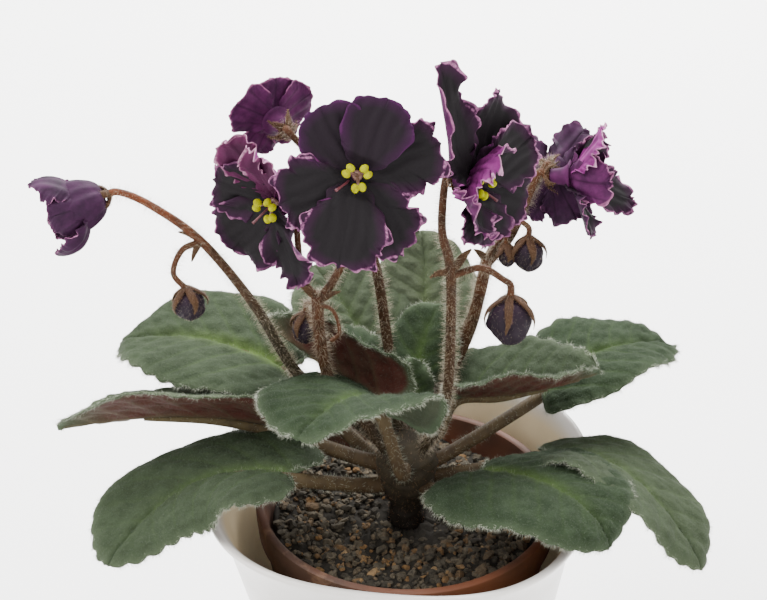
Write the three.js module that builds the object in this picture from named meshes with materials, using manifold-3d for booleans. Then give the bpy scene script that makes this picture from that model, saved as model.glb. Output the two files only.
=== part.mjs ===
// A potted African violet: a round grow pot of mix standing inside a wider white pot, with a
// rosette of hairy leaves, six flower stalks, six ruffled blooms, a half-open bud and five buds.
// Millimetres, +Z up. The origin is the middle of the outer pot's flat underside, and -Y is the
// side that faces the viewer.

import * as THREE from 'three';
import { mergeVertices } from 'three/addons/utils/BufferGeometryUtils.js';
import Module from 'manifold-3d';

const wasm = await Module();
wasm.setup();

// ---- driving dimensions ------------------------------------------------------------------

const GAP = 0.3; // clearance between neighbouring pieces
const CUT_GAP = 0.45; // clearance of a cut, before its slivers are smoothed away by up to FAIRING
const FAIRING = 0.16;
const PINCH = 0.04; // how far corners that touch are drawn apart

const OUTER_HEIGHT = 97; // white outer pot
const OUTER_BASE_RADIUS = 37;
const OUTER_RIM_RADIUS = 58.3; // mean radius of the lobed lip
const OUTER_LOBE = 2.4; // how far the four lobes of the lip swell and sink
const OUTER_LOBE_TURN = THREE.MathUtils.degToRad(35);
const OUTER_LEAN = 1.8; // the lobe at the front left is this much fuller than its opposite
const OUTER_WALL = 2.2;
const OUTER_FLOOR = 3;
const LIP_FLARE = 3; // the last stretch of the wall leans out by this much more

const POT_BOTTOM = OUTER_FLOOR + GAP; // grow pot
const POT_RIM_HEIGHT = 88;
const POT_BASE_RADIUS = 31;
const POT_RIM_RADIUS = 45;
const POT_WALL = 2;
const POT_COLLAR = 11; // height of the stepped band under the rim
const DRAIN_RADIUS = 3.5;
const DRAIN_RING = 19;
const DRAINS = 5;

const MIX_TOP = 79.5; // mean level of the potting mix
const MIX_RELIEF = 1.1;

const CROWN_FOOT = 68; // the stem's foot, in its hole in the mix
const CROWN_TOP = 108;
const CROWN_PROFILE = [ // radius, height
  [4.8, CROWN_FOOT], [5, 86], [8, 93], [9.2, 99], [8.6, 104], [5, CROWN_TOP],
];

const LEAF_THICKNESS = 0.9;
const PETAL_THICKNESS = 0.7;
const TOOTH = 1.5; // depth of the leaf margin's rounded teeth

// Leaf and petal outlines, as fractions of the length and of half the width.
const LEAF_OUTLINE = [
  [0.0, 0.06], [-0.07, 0.3], [-0.05, 0.6], [0.1, 0.88], [0.33, 1], [0.58, 0.93],
  [0.8, 0.68], [0.94, 0.34], [1, 0.05],
];
const PETAL_OUTLINE = [
  [0, 0.14], [0.18, 0.5], [0.42, 0.9], [0.68, 1], [0.87, 0.78], [0.97, 0.42], [1, 0.08],
];

// Each leaf: where its petiole leaves the crown (degrees round it, height), the points that
// the midrib passes at its base, middle and tip, the blade's full width, how far its left and
// right halves are folded up from level (degrees, seen from base to tip), how much each half
// turns over by its margin, how late that turn comes (1 is evenly), and the petiole's radius.
const LEAVES = {
  leaf_front_left: {
    root: [200, 94], base: [-33, -15.5, 107], middle: [-62, -13.5, 101.5], tip: [-83.5, -36, 91],
    width: 48, fold: [18, -3], curl: [-20, -5], late: 1, radius: 2.3,
  },
  leaf_left: {
    root: [172, 99], base: [-36, 9, 105.5], middle: [-66, 8, 111], tip: [-103.5, 8, 106.5],
    width: 38, fold: [60, 2], curl: [-10, -10], late: 1, radius: 2.3,
  },
  leaf_front: {
    root: [262, 104], base: [-6, -11.5, 125.5], middle: [-16.5, -21, 136], tip: [-29.5, -40.5, 137],
    width: 54, fold: [20, 1], curl: [6, -21], late: 1, radius: 2,
  },
  leaf_front_right: {
    root: [318, 95], base: [20.5, -5.5, 100.5], middle: [42.5, -27.5, 110], tip: [55, -41, 101],
    width: 59.5, fold: [-5, 17], curl: [-15, -28.5], late: 1, radius: 2.2,
  },
  leaf_right_low: {
    root: [6, 94], base: [42, 2, 101], middle: [64.5, -9, 101.5], tip: [83.5, -31, 85],
    width: 39, fold: [-14, 24], curl: [-1.5, 0.5], late: 1, radius: 2.2,
  },
  leaf_right_far: {
    root: [24, 98], base: [41, 22, 110], middle: [61, 33, 118], tip: [84, 44, 113],
    width: 40, fold: [8, 14], curl: [-10, -15], late: 1, radius: 2.1,
  },
  leaf_right: {
    root: [40, 104], base: [14.5, 8.5, 117.5], middle: [36.5, 7, 120.5], tip: [56, 7, 127.5],
    width: 45, fold: [28, 44], curl: [-30, 4], late: 1, radius: 1.9,
  },
  leaf_left_back: {
    root: [148, 97], base: [-36, 22, 118], middle: [-61, 28, 125], tip: [-88, 36, 119.5],
    width: 50, fold: [8, 16], curl: [-15, -12], late: 1, radius: 2.2,
  },
  leaf_back: {
    root: [88, 98], base: [5, 28, 124], middle: [6, 44, 137], tip: [5, 55, 148],
    width: 34, fold: [10, 10], curl: [-15, -15], late: 1, radius: 2,
  },
  leaf_back_left: {
    root: [118, 101], base: [-10, 20, 124], middle: [-18, 31, 134], tip: [-28, 42, 143],
    width: 42, fold: [12, 12], curl: [-15, -15], late: 1, radius: 1.9,
  },
  leaf_heart_left: {
    root: [150, 105], base: [-5, 3, 119], middle: [-22, 8, 128], tip: [-41, 18, 137],
    width: 38, fold: [84, 14], curl: [-20, -10], late: 2, radius: 1.5,
  },
  leaf_heart_back: {
    root: [70, 104], base: [3, 12, 122], middle: [5, 19, 130], tip: [10, 27, 138],
    width: 24, fold: [12, 12], curl: [-20, -20], late: 1, radius: 1.4,
  },
  leaf_heart: {
    root: [95, 107], base: [2, 4.5, 118], middle: [1.5, 6.5, 124], tip: [2, 9, 130],
    width: 13, fold: [20, 20], curl: [-20, -20], late: 1, radius: 1.1,
  },
};

// Each flower stalk: the points and radii of its branches, the stem first, and its bracts. A side
// branch starts inside the stem at its node. A branch that carries a bloom or a bud ends at the
// seat of what it carries, where it grows its five sepals.
const STALKS = {
  stalk_left: {
    branches: [
      { path: [[-4, 1, 102], [-15, 0, 114], [-31.5, 0, 131], [-42.5, 0, 153], [-56, 0, 173],
        [-69, 0, 184]], radii: [2, 1.9, 1.8, 1.6, 1.4, 1.2, 1.1, 1.4], carries: 'bud_half_open' },
      { path: [[-56, 0, 173], [-61, -3, 172], [-63.5, -5, 166]],
        radii: [1.1, 1, 0.9, 0.9, 1], carries: 'bud_left' },
    ],
    bracts: [
      { at: [-56.5, 0, 173.5], to: [-62, -1, 176.5], width: 1.6 },
      { at: [-56.5, -1, 173], to: [-58.5, -4, 169], width: 1.6 },
    ],
  },
  stalk_centre: {
    branches: [
      { path: [[-4, -2, 102], [-12, -1, 114], [-22, 0, 128], [-24.5, -3, 145], [-24.8, -6, 160]],
        radii: [2, 2, 1.9, 1.85, 2] },
      { path: [[-24.8, -6, 158], [-20, -6, 165], [-15, -10, 180]],
        radii: [1.5, 1.3, 1.2, 1.2, 1.8], carries: 'bloom_centre' },
      { path: [[-24.8, -6, 159], [-29, -4, 166]], radii: [1.2, 1, 1.1, 1.7],
        carries: 'bloom_left' },
      { path: [[-24.8, -5.5, 158], [-27, -2, 155]], radii: [0.9, 0.8, 0.9, 1],
        carries: 'bud_centre' },
      { path: [[-24.8, -6, 157], [-20.5, -8, 156], [-18.8, -9, 150], [-21, -9, 147]],
        radii: [0.8, 0.6, 0.6, 0.8] },
    ],
    bracts: [
      { at: [-25.5, -6, 159], to: [-29.5, -8, 164], width: 1.8 },
      { at: [-24, -6, 158], to: [-18.5, -8, 162], width: 1.8 },
    ],
  },
  stalk_back_left: {
    branches: [
      { path: [[-2, 3, 104], [-4, 12, 118], [-6, 20, 132], [-10, 20, 158], [-20, 20, 180]],
        radii: [1.9, 1.9, 1.8, 1.7, 1.3, 1.1, 1.7], carries: 'bloom_back_left' },
    ],
    bracts: [],
  },
  stalk_right: {
    branches: [
      { path: [[3, -2, 103], [8, -6, 115], [11, -9, 130], [11.5, -10, 150], [11, -10, 170],
        [8.5, -10, 182]], radii: [1.8, 1.8, 1.7, 1.6, 1.6, 1.3, 1.2, 1.7], carries: 'bloom_right' },
      { path: [[11.5, -10, 168], [19, -11, 171], [25, -12, 168]],
        radii: [1.1, 1.1, 1, 1.1, 1.3], carries: 'bud_right' },
    ],
    bracts: [
      { at: [10.5, -10, 169], to: [5.5, -11, 168], width: 1.8 },
      { at: [12, -10, 170], to: [16.5, -8, 175], width: 2.2 },
    ],
  },
  stalk_right_back: {
    branches: [
      { path: [[4, 4, 103], [10, 12, 116], [18, 20, 131], [21, 20, 144], [23, 20, 157]],
        radii: [2.2, 2.2, 2.1, 2, 2.1] },
      { path: [[23, 20, 155], [30, 20, 165]], radii: [1.5, 1.3, 1.2, 1.8],
        carries: 'bloom_right_back' },
      { path: [[23, 20, 156], [26.5, 18.7, 165], [30.3, 17, 170.4]], radii: [1, 0.9, 0.8, 0.9, 1],
        carries: 'bud_right_back' },
      { path: [[23, 20, 156], [25.5, 17.5, 163]], radii: [0.9, 0.7, 0.8, 0.8],
        carries: 'bud_right_small' },
    ],
    bracts: [
      { at: [23, 20, 156], to: [19, 18, 161], width: 2 },
    ],
  },
  stalk_right_far: {
    branches: [
      { path: [[3, 5, 104], [11, 18, 118], [20, 27, 134], [24, 29, 152], [32, 28, 168]],
        radii: [2, 2, 1.9, 1.8, 1.4, 1.2, 1.7], carries: 'bloom_right_far' },
    ],
    bracts: [],
  },
};

// Each bloom: the middle of its throat, the way it faces, a turn about that axis, and its
// petals: angle round the face (degrees, anticlockwise from the viewer's right), length, width,
// how far it rises from the face at its root and at its end, its lateral cup and its frill.
const BLOOMS = {
  bloom_centre: {
    throat: [-13.5, -24, 204], faces: [0.05, -0.93, 0.36], style: -150,
    petals: [
      [20, 22.5, 19, 10, -4, 8, 1], [66, 20.5, 18, 2, -6, 6, 0.3], [117, 19.5, 18, 12, 4, 8, 0.3],
      [199, 20.5, 19, 6, -10, 8, 1], [257, 23.5, 21, 10, -4, 8, 1], [297, 22.5, 19, 4, -12, 8, 1],
    ],
  },
  bloom_left: {
    throat: [-35.5, -4, 187], faces: [-0.5, -0.85, -0.12], style: -130,
    petals: [
      [82, 20, 15, 18, 30, 25, 1.4], [115, 22, 15, 8, 16, 25, 1.4], [165, 18, 19, 22, 4, 10, 1],
      [231, 23, 22, 12, -6, 10, 1], [286, 24, 13, 10, -10, 25, 1.3],
    ],
  },
  bloom_back_left: {
    throat: [-36.5, 22, 199], faces: [-0.55, 0.8, 0.15], style: -90,
    petals: [
      [32, 16, 17, 14, 0, 10, 0.6], [96, 13.5, 17, 18, 4, 10, 0.6], [156, 15, 15, 14, 0, 10, 0.6],
      [222, 13, 13, 16, -2, 10, 0.6], [290, 14, 14, 16, -2, 10, 0.6],
    ],
  },
  bloom_right: {
    throat: [16, -10, 195.5], faces: [0.72, -0.66, 0.14], style: -60,
    petals: [
      [-28, 20, 20, 20, 8, 10, 1], [26, 20, 20, 28, 12, 12, 1], [62, 24, 18, 10, 0, 14, 1.3],
      [118, 37, 17, 12, 2, 18, 1.3], [120, 16, 22, 20, 110, 20, 1.2],
      [214, 17, 18, 25, 60, 25, 1.2], [258, 16.5, 20, 22, 6, 20, 1.1],
    ],
  },
  bloom_right_back: {
    throat: [44.5, 18, 184], faces: [0.95, -0.22, 0.12], style: -40,
    petals: [
      [20, 18, 15, 35, 30, 20, 1], [95, 18, 14, 44, 30, 25, 1], [170, 17, 14, 45, 80, 25, 1],
      [245, 18, 16, 26, 10, 15, 1], [310, 23, 13, 42, 42, 15, 1],
    ],
  },
  bloom_right_far: {
    throat: [41, 28, 181], faces: [0.3, 0.75, -0.45], style: -90,
    petals: [
      [18, 15, 13, 20, 4, 10, 1], [112, 17, 13, 30, 20, 20, 1], [168, 16, 15, 20, 4, 10, 1],
      [234, 16, 15, 14, -6, 10, 1], [306, 16, 15, 14, -6, 10, 1],
    ],
  },
};

// The half-open bud is built as a bloom whose petals still stand forward round one another.
const HALF_OPEN_BUD = {
  throat: [-85.6, -1.4, 185.5], faces: [-0.86, -0.25, -0.2], style: null,
  petals: [
    [20, 14, 14, 52, 74, 50, 0.6], [95, 16, 16, 42, 74, 50, 0.6], [165, 13.5, 15, 52, 74, 50, 0.6],
    [226, 15, 16, 30, 96, 50, 0.6], [292, 17.5, 19, 8, 100, 40, 0.6],
  ],
};

// Each closed bud: its seat on its stalk, the way it hangs, its length and its radius.
const BUDS = {
  bud_left: { top: [-60, -6, 161.5], hangs: [0.1, -0.1, -1], length: 9, radius: 4.3 },
  bud_centre: { top: [-28.5, 3, 148.5], hangs: [-0.05, 0, -1], length: 9.5, radius: 3.7 },
  bud_right: { top: [27, -13, 163], hangs: [0.02, -0.15, -1], length: 13.5, radius: 6.1 },
  bud_right_back: { top: [34, 15, 166], hangs: [0.05, -0.1, -1], length: 10, radius: 4.3 },
  bud_right_small: { top: [28, 16, 163], hangs: [0.1, -0.2, -1], length: 6, radius: 2.4 },
};

const TUBE_LENGTH = 5; // corolla tube behind the throat
const TUBE_RADIUS = 2.6;
const SEPALS = 5;
const PETAL_LAYERS = [0, 0.9, 0, 0.9, 1.8, 0.9, 1.8]; // how far each petal stands over the face

const TUBE_TAPER = 0.8; // the corolla tube's narrow end, as a share of its radius
const PETAL_START = 1.4; // how far from the flower's axis a petal begins
const SEPAL_BLOOM = [[0.6, -1.2], [3.5, -0.2], [6.2, 2.6]]; // out from and along the axis
const STEPS_PER_POINT = 1.4; // rings of a stalk's branch for each point of its path
const ANTHER_ANGLE = 1.95; // radians between neighbouring stamens
const LEAF_PETIOLE_TAPER = [1.15, 1, 0.9, 0.62, 0.3];

// ---- materials ---------------------------------------------------------------------------

function finish(color, roughness) {
  return new THREE.MeshStandardMaterial({ color, roughness, metalness: 0 });
}

const WHITE_POT = finish('#e9e7e2', 0.3);
const BROWN_POT = finish('#8a4a2c', 0.65);
const MIX = finish('#3a312a', 0.95);
const CROWN_GREEN = finish('#6d5b45', 0.8);
const LEAF_GREEN = finish('#4f6a4c', 0.8);
const STALK_BROWN = finish('#7d5338', 0.75);
const PETAL_PURPLE = finish('#35163b', 0.6);
const ANTHER_YELLOW = finish('#d8dc2c', 0.6);

// ---- solids ------------------------------------------------------------------------------

function vector(list) {
  return new THREE.Vector3(...list);
}

/** Turns points and triangles that share them into a solid with its faces pointing out. */
function solidFrom(points, triangles) {
  const vertProperties = new Float32Array(points.flatMap((point) => point.toArray()));
  const solid = new wasm.Manifold(new wasm.Mesh({
    numProp: 3, vertProperties, triVerts: new Uint32Array(triangles.flat()),
  }));
  if (solid.volume() > 0) return solid;
  const turned = triangles.map(([a, b, c]) => [a, c, b]);
  return new wasm.Manifold(new wasm.Mesh({
    numProp: 3, vertProperties, triVerts: new Uint32Array(turned.flat()),
  }));
}

function solidFromGeometry(geometry) {
  const bare = geometry.index ? geometry.toNonIndexed() : geometry;
  bare.deleteAttribute('normal');
  bare.deleteAttribute('uv');
  const merged = mergeVertices(bare, 1e-4);
  const places = merged.getAttribute('position');
  const points = [];
  for (let i = 0; i < places.count; i += 1) {
    points.push(new THREE.Vector3().fromBufferAttribute(places, i));
  }
  const triangles = [];
  for (let i = 0; i < merged.index.count; i += 3) {
    const corner = [merged.index.getX(i), merged.index.getX(i + 1), merged.index.getX(i + 2)];
    if (new Set(corner).size === 3) triangles.push(corner);
  }
  return solidFrom(points, triangles);
}

function join(solids) {
  return solids.reduce((whole, piece) => whole.add(piece));
}

/** Keeps the largest body of a solid and drops loose scraps left by a cut. */
function largestBody(solid) {
  const bodies = solid.decompose();
  return bodies.reduce((best, body) => (body.volume() > best.volume() ? body : best));
}

/** Draws corners that lie on one another a little into their own body, so no edge has four faces. */
function partTouching(geometry) {
  const places = geometry.getAttribute('position');
  const normals = geometry.getAttribute('normal');
  const sharing = new Map();
  for (let i = 0; i < places.count; i += 1) {
    const key = [places.getX(i), places.getY(i), places.getZ(i)]
      .map((value) => Math.round(value * 1000)).join();
    sharing.set(key, [...(sharing.get(key) ?? []), i]);
  }
  for (const corners of sharing.values()) {
    if (corners.length === 1) continue;
    for (const i of corners) {
      const place = new THREE.Vector3().fromBufferAttribute(places, i);
      const normal = new THREE.Vector3().fromBufferAttribute(normals, i);
      place.addScaledVector(normal, -PINCH);
      places.setXYZ(i, place.x, place.y, place.z);
    }
  }
  geometry.computeVertexNormals();
}

function meshFrom(name, solid, material) {
  const faired = largestBody(solid).asOriginal().simplify(FAIRING);
  const { vertProperties, triVerts } = largestBody(faired).getMesh();
  const geometry = new THREE.BufferGeometry();
  geometry.setAttribute('position', new THREE.BufferAttribute(vertProperties, 3));
  geometry.setIndex(new THREE.BufferAttribute(triVerts, 1));
  geometry.computeVertexNormals();
  partTouching(geometry);
  const mesh = new THREE.Mesh(geometry, material);
  mesh.name = name;
  return mesh;
}

/** A closed surface lofted through rings of equal count, from a bottom pole to a top pole. */
function loft(rings, bottom, top) {
  const sectors = rings[0].length;
  const points = [...rings.flat(), bottom, top];
  const south = points.length - 2;
  const north = points.length - 1;
  const triangles = [];
  for (let sector = 0; sector < sectors; sector += 1) {
    const next = (sector + 1) % sectors;
    triangles.push([south, next, sector]);
    for (let ring = 0; ring < rings.length - 1; ring += 1) {
      const low = ring * sectors;
      const high = low + sectors;
      triangles.push([low + sector, low + next, high + next]);
      triangles.push([low + sector, high + next, high + sector]);
    }
    const last = (rings.length - 1) * sectors;
    triangles.push([last + sector, last + next, north]);
  }
  return solidFrom(points, triangles);
}

function lathe(profile, segments) {
  const outline = profile.map(([radius, height]) => new THREE.Vector2(radius, height));
  const geometry = new THREE.LatheGeometry(outline, segments);
  geometry.rotateX(Math.PI / 2); // the lathe's own axis is Y
  return solidFromGeometry(geometry);
}

/**
 * A closed tube along a curve. The radii are spread evenly along it. With a width, the section
 * is an ellipse that is wide along `across` and as thick as the radii.
 */
function taperedTube(curve, radii, sides, steps, wide = null) {
  const rings = [];
  let side = null;
  for (let step = 0; step <= steps; step += 1) {
    const t = step / steps;
    const centre = curve.getPoint(t);
    const tangent = curve.getTangent(t);
    if (!side) side = wide ? wide.across.clone() : new THREE.Vector3(0.31, 0.95, 0.11);
    side.addScaledVector(tangent, -side.dot(tangent)).normalize();
    const other = tangent.clone().cross(side);
    const place = t * (radii.length - 1);
    const low = Math.min(Math.floor(place), radii.length - 2);
    const radius = THREE.MathUtils.lerp(radii[low], radii[low + 1], place - low);
    const stretch = wide ? wide.ratio : 1;
    const ring = [];
    for (let i = 0; i < sides; i += 1) {
      const angle = (i / sides) * 2 * Math.PI;
      ring.push(centre.clone()
        .addScaledVector(side, radius * stretch * Math.cos(angle))
        .addScaledVector(other, radius * Math.sin(angle)));
    }
    rings.push(ring);
  }
  return loft(rings, curve.getPoint(0), curve.getPoint(1));
}

function smoothPath(points) {
  return new THREE.CatmullRomCurve3(points, false, 'catmullrom', 0.5);
}

/**
 * A thin waved blade. `place(along, aside, edge, run)` gives the point of its middle surface for
 * a flat point of the outline, where edge goes from 0 on the midrib to 1 at the margin and run
 * from 0 to 1 along the margin. Both faces are split into triangles alike.
 */
function blade({ outline, length, width, rows, columns, tooth, thickness, grow, place }) {
  const margin = new THREE.SplineCurve(outline.map(([along, aside]) => (
    new THREE.Vector2(along * length, aside * width / 2))));
  const points = [];
  const count = 2 * columns + 1;
  for (let row = 0; row <= rows; row += 1) {
    const run = row / rows;
    const edgePoint = margin.getPointAt(run);
    const heading = margin.getTangentAt(run);
    const swing = row % 2 ? tooth / 2 : -tooth / 2;
    const swell = grow + (row > 0 && row < rows ? swing : 0);
    edgePoint.x -= heading.y * swell;
    edgePoint.y += heading.x * swell;
    const rib = length * run ** 1.7;
    for (let column = -columns; column <= columns; column += 1) {
      const edge = Math.abs(column) / columns;
      const along = THREE.MathUtils.lerp(rib, edgePoint.x, edge);
      const aside = Math.sign(column) * edge * Math.max(edgePoint.y, 0.3);
      points.push(place(along, aside, edge, run));
    }
  }
  const cells = [];
  for (let row = 0; row < rows; row += 1) {
    for (let column = 0; column < count - 1; column += 1) {
      const a = row * count + column;
      cells.push([a, a + count, a + count + 1], [a, a + count + 1, a + 1]);
    }
  }
  return thicken(points, cells, rows, count, thickness + 2 * grow);
}

function thicken(points, cells, rows, count, thickness) {
  const normals = points.map(() => new THREE.Vector3());
  for (const [a, b, c] of cells) {
    const first = points[b].clone().sub(points[a]);
    const normal = first.cross(points[c].clone().sub(points[a]));
    for (const corner of [a, b, c]) normals[corner].add(normal);
  }
  normals.forEach((normal) => normal.setLength(thickness / 2));
  const upper = points.map((point, i) => point.clone().add(normals[i]));
  const lower = points.map((point, i) => point.clone().sub(normals[i]));
  const under = points.length;
  const triangles = [...cells];
  for (const [a, b, c] of cells) triangles.push([a + under, c + under, b + under]);
  const rim = [];
  for (let column = 0; column < count; column += 1) rim.push(column);
  for (let row = 1; row <= rows; row += 1) rim.push(row * count + count - 1);
  for (let column = count - 2; column >= 0; column -= 1) rim.push(rows * count + column);
  for (let row = rows - 1; row > 0; row -= 1) rim.push(row * count);
  rim.forEach((a, i) => {
    const b = rim[(i + 1) % rim.length];
    triangles.push([a, b, b + under], [a, b + under, a + under]);
  });
  return solidFrom([...upper, ...lower], triangles);
}

/**
 * How far along and up a strip reaches that starts at an angle and turns by `turn` in all: evenly
 * for a `late` of 1, and mostly near its end for a larger one.
 */
function arc(start, turn, late, fraction, size) {
  const steps = 6;
  const reach = [0, 0];
  for (let step = 0; step < steps; step += 1) {
    const angle = start + turn * (((step + 0.5) / steps) * fraction) ** late;
    reach[0] += (size * fraction * Math.cos(angle)) / steps;
    reach[1] += (size * fraction * Math.sin(angle)) / steps;
  }
  return reach;
}

// ---- pots and mix ------------------------------------------------------------------------

/** A ring of the outer pot: the lobes and the flare of the lip grow towards the top. */
function outerPotRing(height, inset) {
  const rise = height / OUTER_HEIGHT;
  const flare = LIP_FLARE * Math.max(0, (rise - 0.86) / 0.14) ** 2;
  const straight = THREE.MathUtils.lerp(OUTER_BASE_RADIUS, OUTER_RIM_RADIUS - LIP_FLARE, rise);
  const ring = [];
  const sectors = 28;
  for (let sector = 0; sector < sectors; sector += 1) {
    const angle = (sector / sectors) * 2 * Math.PI;
    const swell = angle - OUTER_LOBE_TURN;
    const lobe = rise ** 2 * (OUTER_LOBE * Math.cos(4 * swell) - OUTER_LEAN * Math.cos(swell));
    const radius = straight + flare + lobe - inset;
    ring.push(new THREE.Vector3(radius * Math.cos(angle), radius * Math.sin(angle), height));
  }
  return ring;
}

function outerPot() {
  const outside = [[0, 1.5], [1.5, 0], [45, 0], [83.4, 0], [91, 0], [95.6, -0.3]];
  const lip = [[OUTER_HEIGHT, OUTER_WALL / 2]];
  const inside = [[95.6, OUTER_WALL + 0.3], [90, OUTER_WALL], [82, OUTER_WALL],
    [44, OUTER_WALL], [OUTER_FLOOR, OUTER_WALL]];
  const rings = [...outside, ...lip, ...inside].map(([height, inset]) => (
    outerPotRing(height, inset)));
  return loft(rings, new THREE.Vector3(), new THREE.Vector3(0, 0, OUTER_FLOOR));
}

/** The grow pot's wall radius at a height, on the outside and below the collar. */
function potRadius(height) {
  const rise = (height - POT_BOTTOM) / (POT_RIM_HEIGHT - POT_COLLAR - POT_BOTTOM);
  return THREE.MathUtils.lerp(POT_BASE_RADIUS, POT_RIM_RADIUS - 2, rise);
}

function growPot() {
  const collar = POT_RIM_HEIGHT - POT_COLLAR;
  const floor = POT_BOTTOM + POT_WALL;
  const body = lathe([
    [0, POT_BOTTOM], [POT_BASE_RADIUS, POT_BOTTOM], [potRadius(collar), collar],
    [POT_RIM_RADIUS - 0.6, collar + 0.8], [POT_RIM_RADIUS, POT_RIM_HEIGHT - 0.6],
    [POT_RIM_RADIUS - 0.8, POT_RIM_HEIGHT], [POT_RIM_RADIUS - 2.2, POT_RIM_HEIGHT],
    [POT_RIM_RADIUS - 2.6, POT_RIM_HEIGHT - 1], [potRadius(collar) - POT_WALL, collar],
    [potRadius(floor) - POT_WALL, floor], [0, floor],
  ], 24);
  let pot = body;
  for (let i = 0; i < DRAINS; i += 1) {
    const angle = (i / DRAINS) * 2 * Math.PI;
    const hole = new THREE.CylinderGeometry(DRAIN_RADIUS, DRAIN_RADIUS, 3 * POT_WALL, 8);
    hole.rotateX(Math.PI / 2);
    hole.translate(DRAIN_RING * Math.cos(angle), DRAIN_RING * Math.sin(angle), POT_BOTTOM + 1);
    pot = pot.subtract(solidFromGeometry(hole));
  }
  return pot;
}

/** Low mounds and grains of the mix, worked out from the place alone. */
function mixRelief(x, y) {
  return MIX_RELIEF * (Math.sin(0.31 * x + 1.3) * Math.cos(0.27 * y - 0.6)
    + 0.5 * Math.sin(0.83 * x + 0.7 * y) * Math.cos(0.91 * y - 0.4 * x));
}

function pottingMix() {
  const sectors = 24;
  const floor = POT_BOTTOM + POT_WALL + GAP;
  const wallAt = (height) => potRadius(height) - POT_WALL - GAP - 0.35;
  const ringAt = (radius, height, relief) => Array.from({ length: sectors }, (_, i) => {
    const angle = (i / sectors) * 2 * Math.PI;
    const x = radius * Math.cos(angle);
    const y = radius * Math.sin(angle);
    return new THREE.Vector3(x, y, height + relief * mixRelief(x, y));
  });
  const collar = POT_RIM_HEIGHT - POT_COLLAR;
  const edge = wallAt(collar);
  const rings = [
    ringAt(wallAt(floor), floor, 0), ringAt(edge - 0.3, collar - 1, 0),
    ringAt(edge - 0.3, MIX_TOP - 1.2, 1),
    ...[0.85, 0.65, 0.45, 0.25].map((part) => ringAt(edge * part, MIX_TOP, 1)),
  ];
  const body = loft(rings, new THREE.Vector3(0, 0, floor), new THREE.Vector3(0, 0, MIX_TOP));
  const hole = lathe([
    [0, CROWN_FOOT - GAP], [6, CROWN_FOOT - GAP], [6, MIX_TOP + 6], [0, MIX_TOP + 6],
  ], 14);
  return body.subtract(hole);
}

// ---- crown and leaves --------------------------------------------------------------------

function crown(extra) {
  const side = CROWN_PROFILE.map(([radius, height]) => [radius + extra, height]);
  side.at(-1)[1] += extra;
  const foot = CROWN_FOOT - extra;
  return lathe([[0, foot], [side[0][0], foot], ...side.slice(1), [0, CROWN_TOP + extra]], 14);
}

/** The frame of a leaf at a distance along its midrib: place, heading, left and up. */
function midribFrame(curve, length, along) {
  const held = THREE.MathUtils.clamp(along / length, 0, 1);
  const heading = curve.getTangentAt(held);
  const centre = curve.getPointAt(held).addScaledVector(heading, along - held * length);
  const left = new THREE.Vector3(0, 0, 1).cross(heading).normalize();
  const up = heading.clone().cross(left);
  return { centre, heading, left, up };
}

function leaf(shape, extra) {
  const { degToRad } = THREE.MathUtils;
  const [base, middle, tip] = [shape.base, shape.middle, shape.tip].map(vector);
  const control = middle.clone().multiplyScalar(2)
    .addScaledVector(base, -0.5).addScaledVector(tip, -0.5);
  const midrib = new THREE.QuadraticBezierCurve3(base, control, tip);
  const length = midrib.getLength();
  const small = length < 25;
  const half = shape.width / 2;
  const surface = blade({
    outline: LEAF_OUTLINE, length, width: shape.width, rows: small ? 7 : 10, columns: 2,
    tooth: small ? TOOTH / 2 : TOOTH, thickness: LEAF_THICKNESS, grow: extra,
    place: (along, aside) => {
      const { centre, left, up } = midribFrame(midrib, length, along);
      const hand = aside > 0 ? 0 : 1;
      const [out, lift] = arc(degToRad(shape.fold[hand]), degToRad(shape.curl[hand]), shape.late,
        Math.abs(aside) / half, half);
      return centre.addScaledVector(left, Math.sign(aside) * out).addScaledVector(up, lift);
    },
  });
  const [turn, height] = shape.root;
  const outward = new THREE.Vector3(Math.cos(degToRad(turn)), Math.sin(degToRad(turn)), 0);
  const lead = new THREE.Vector3(0, 0, height);
  const under = (part, radius) => {
    const { centre, up } = midribFrame(midrib, length, part * length);
    return centre.addScaledVector(up, -0.7 * radius);
  };
  const route = smoothPath([
    lead.clone().addScaledVector(outward, 3), lead.clone().addScaledVector(outward, 12),
    under(0, shape.radius), under(0.3, 0.7 * shape.radius), under(0.62, 0.5),
  ]);
  const radii = LEAF_PETIOLE_TAPER.map((part) => part * shape.radius + extra);
  return surface.add(taperedTube(route, radii, 5, small ? 6 : 8));
}

// ---- blooms, buds and stalks -------------------------------------------------------------

/** The frame of a flower's face: its axis, and the viewer's right and up across it. */
function faceFrame(direction) {
  const axis = vector(direction).normalize();
  const right = new THREE.Vector3(0, 0, 1).cross(axis).normalize();
  const up = axis.clone().cross(right);
  return { axis, right, up };
}

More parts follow.
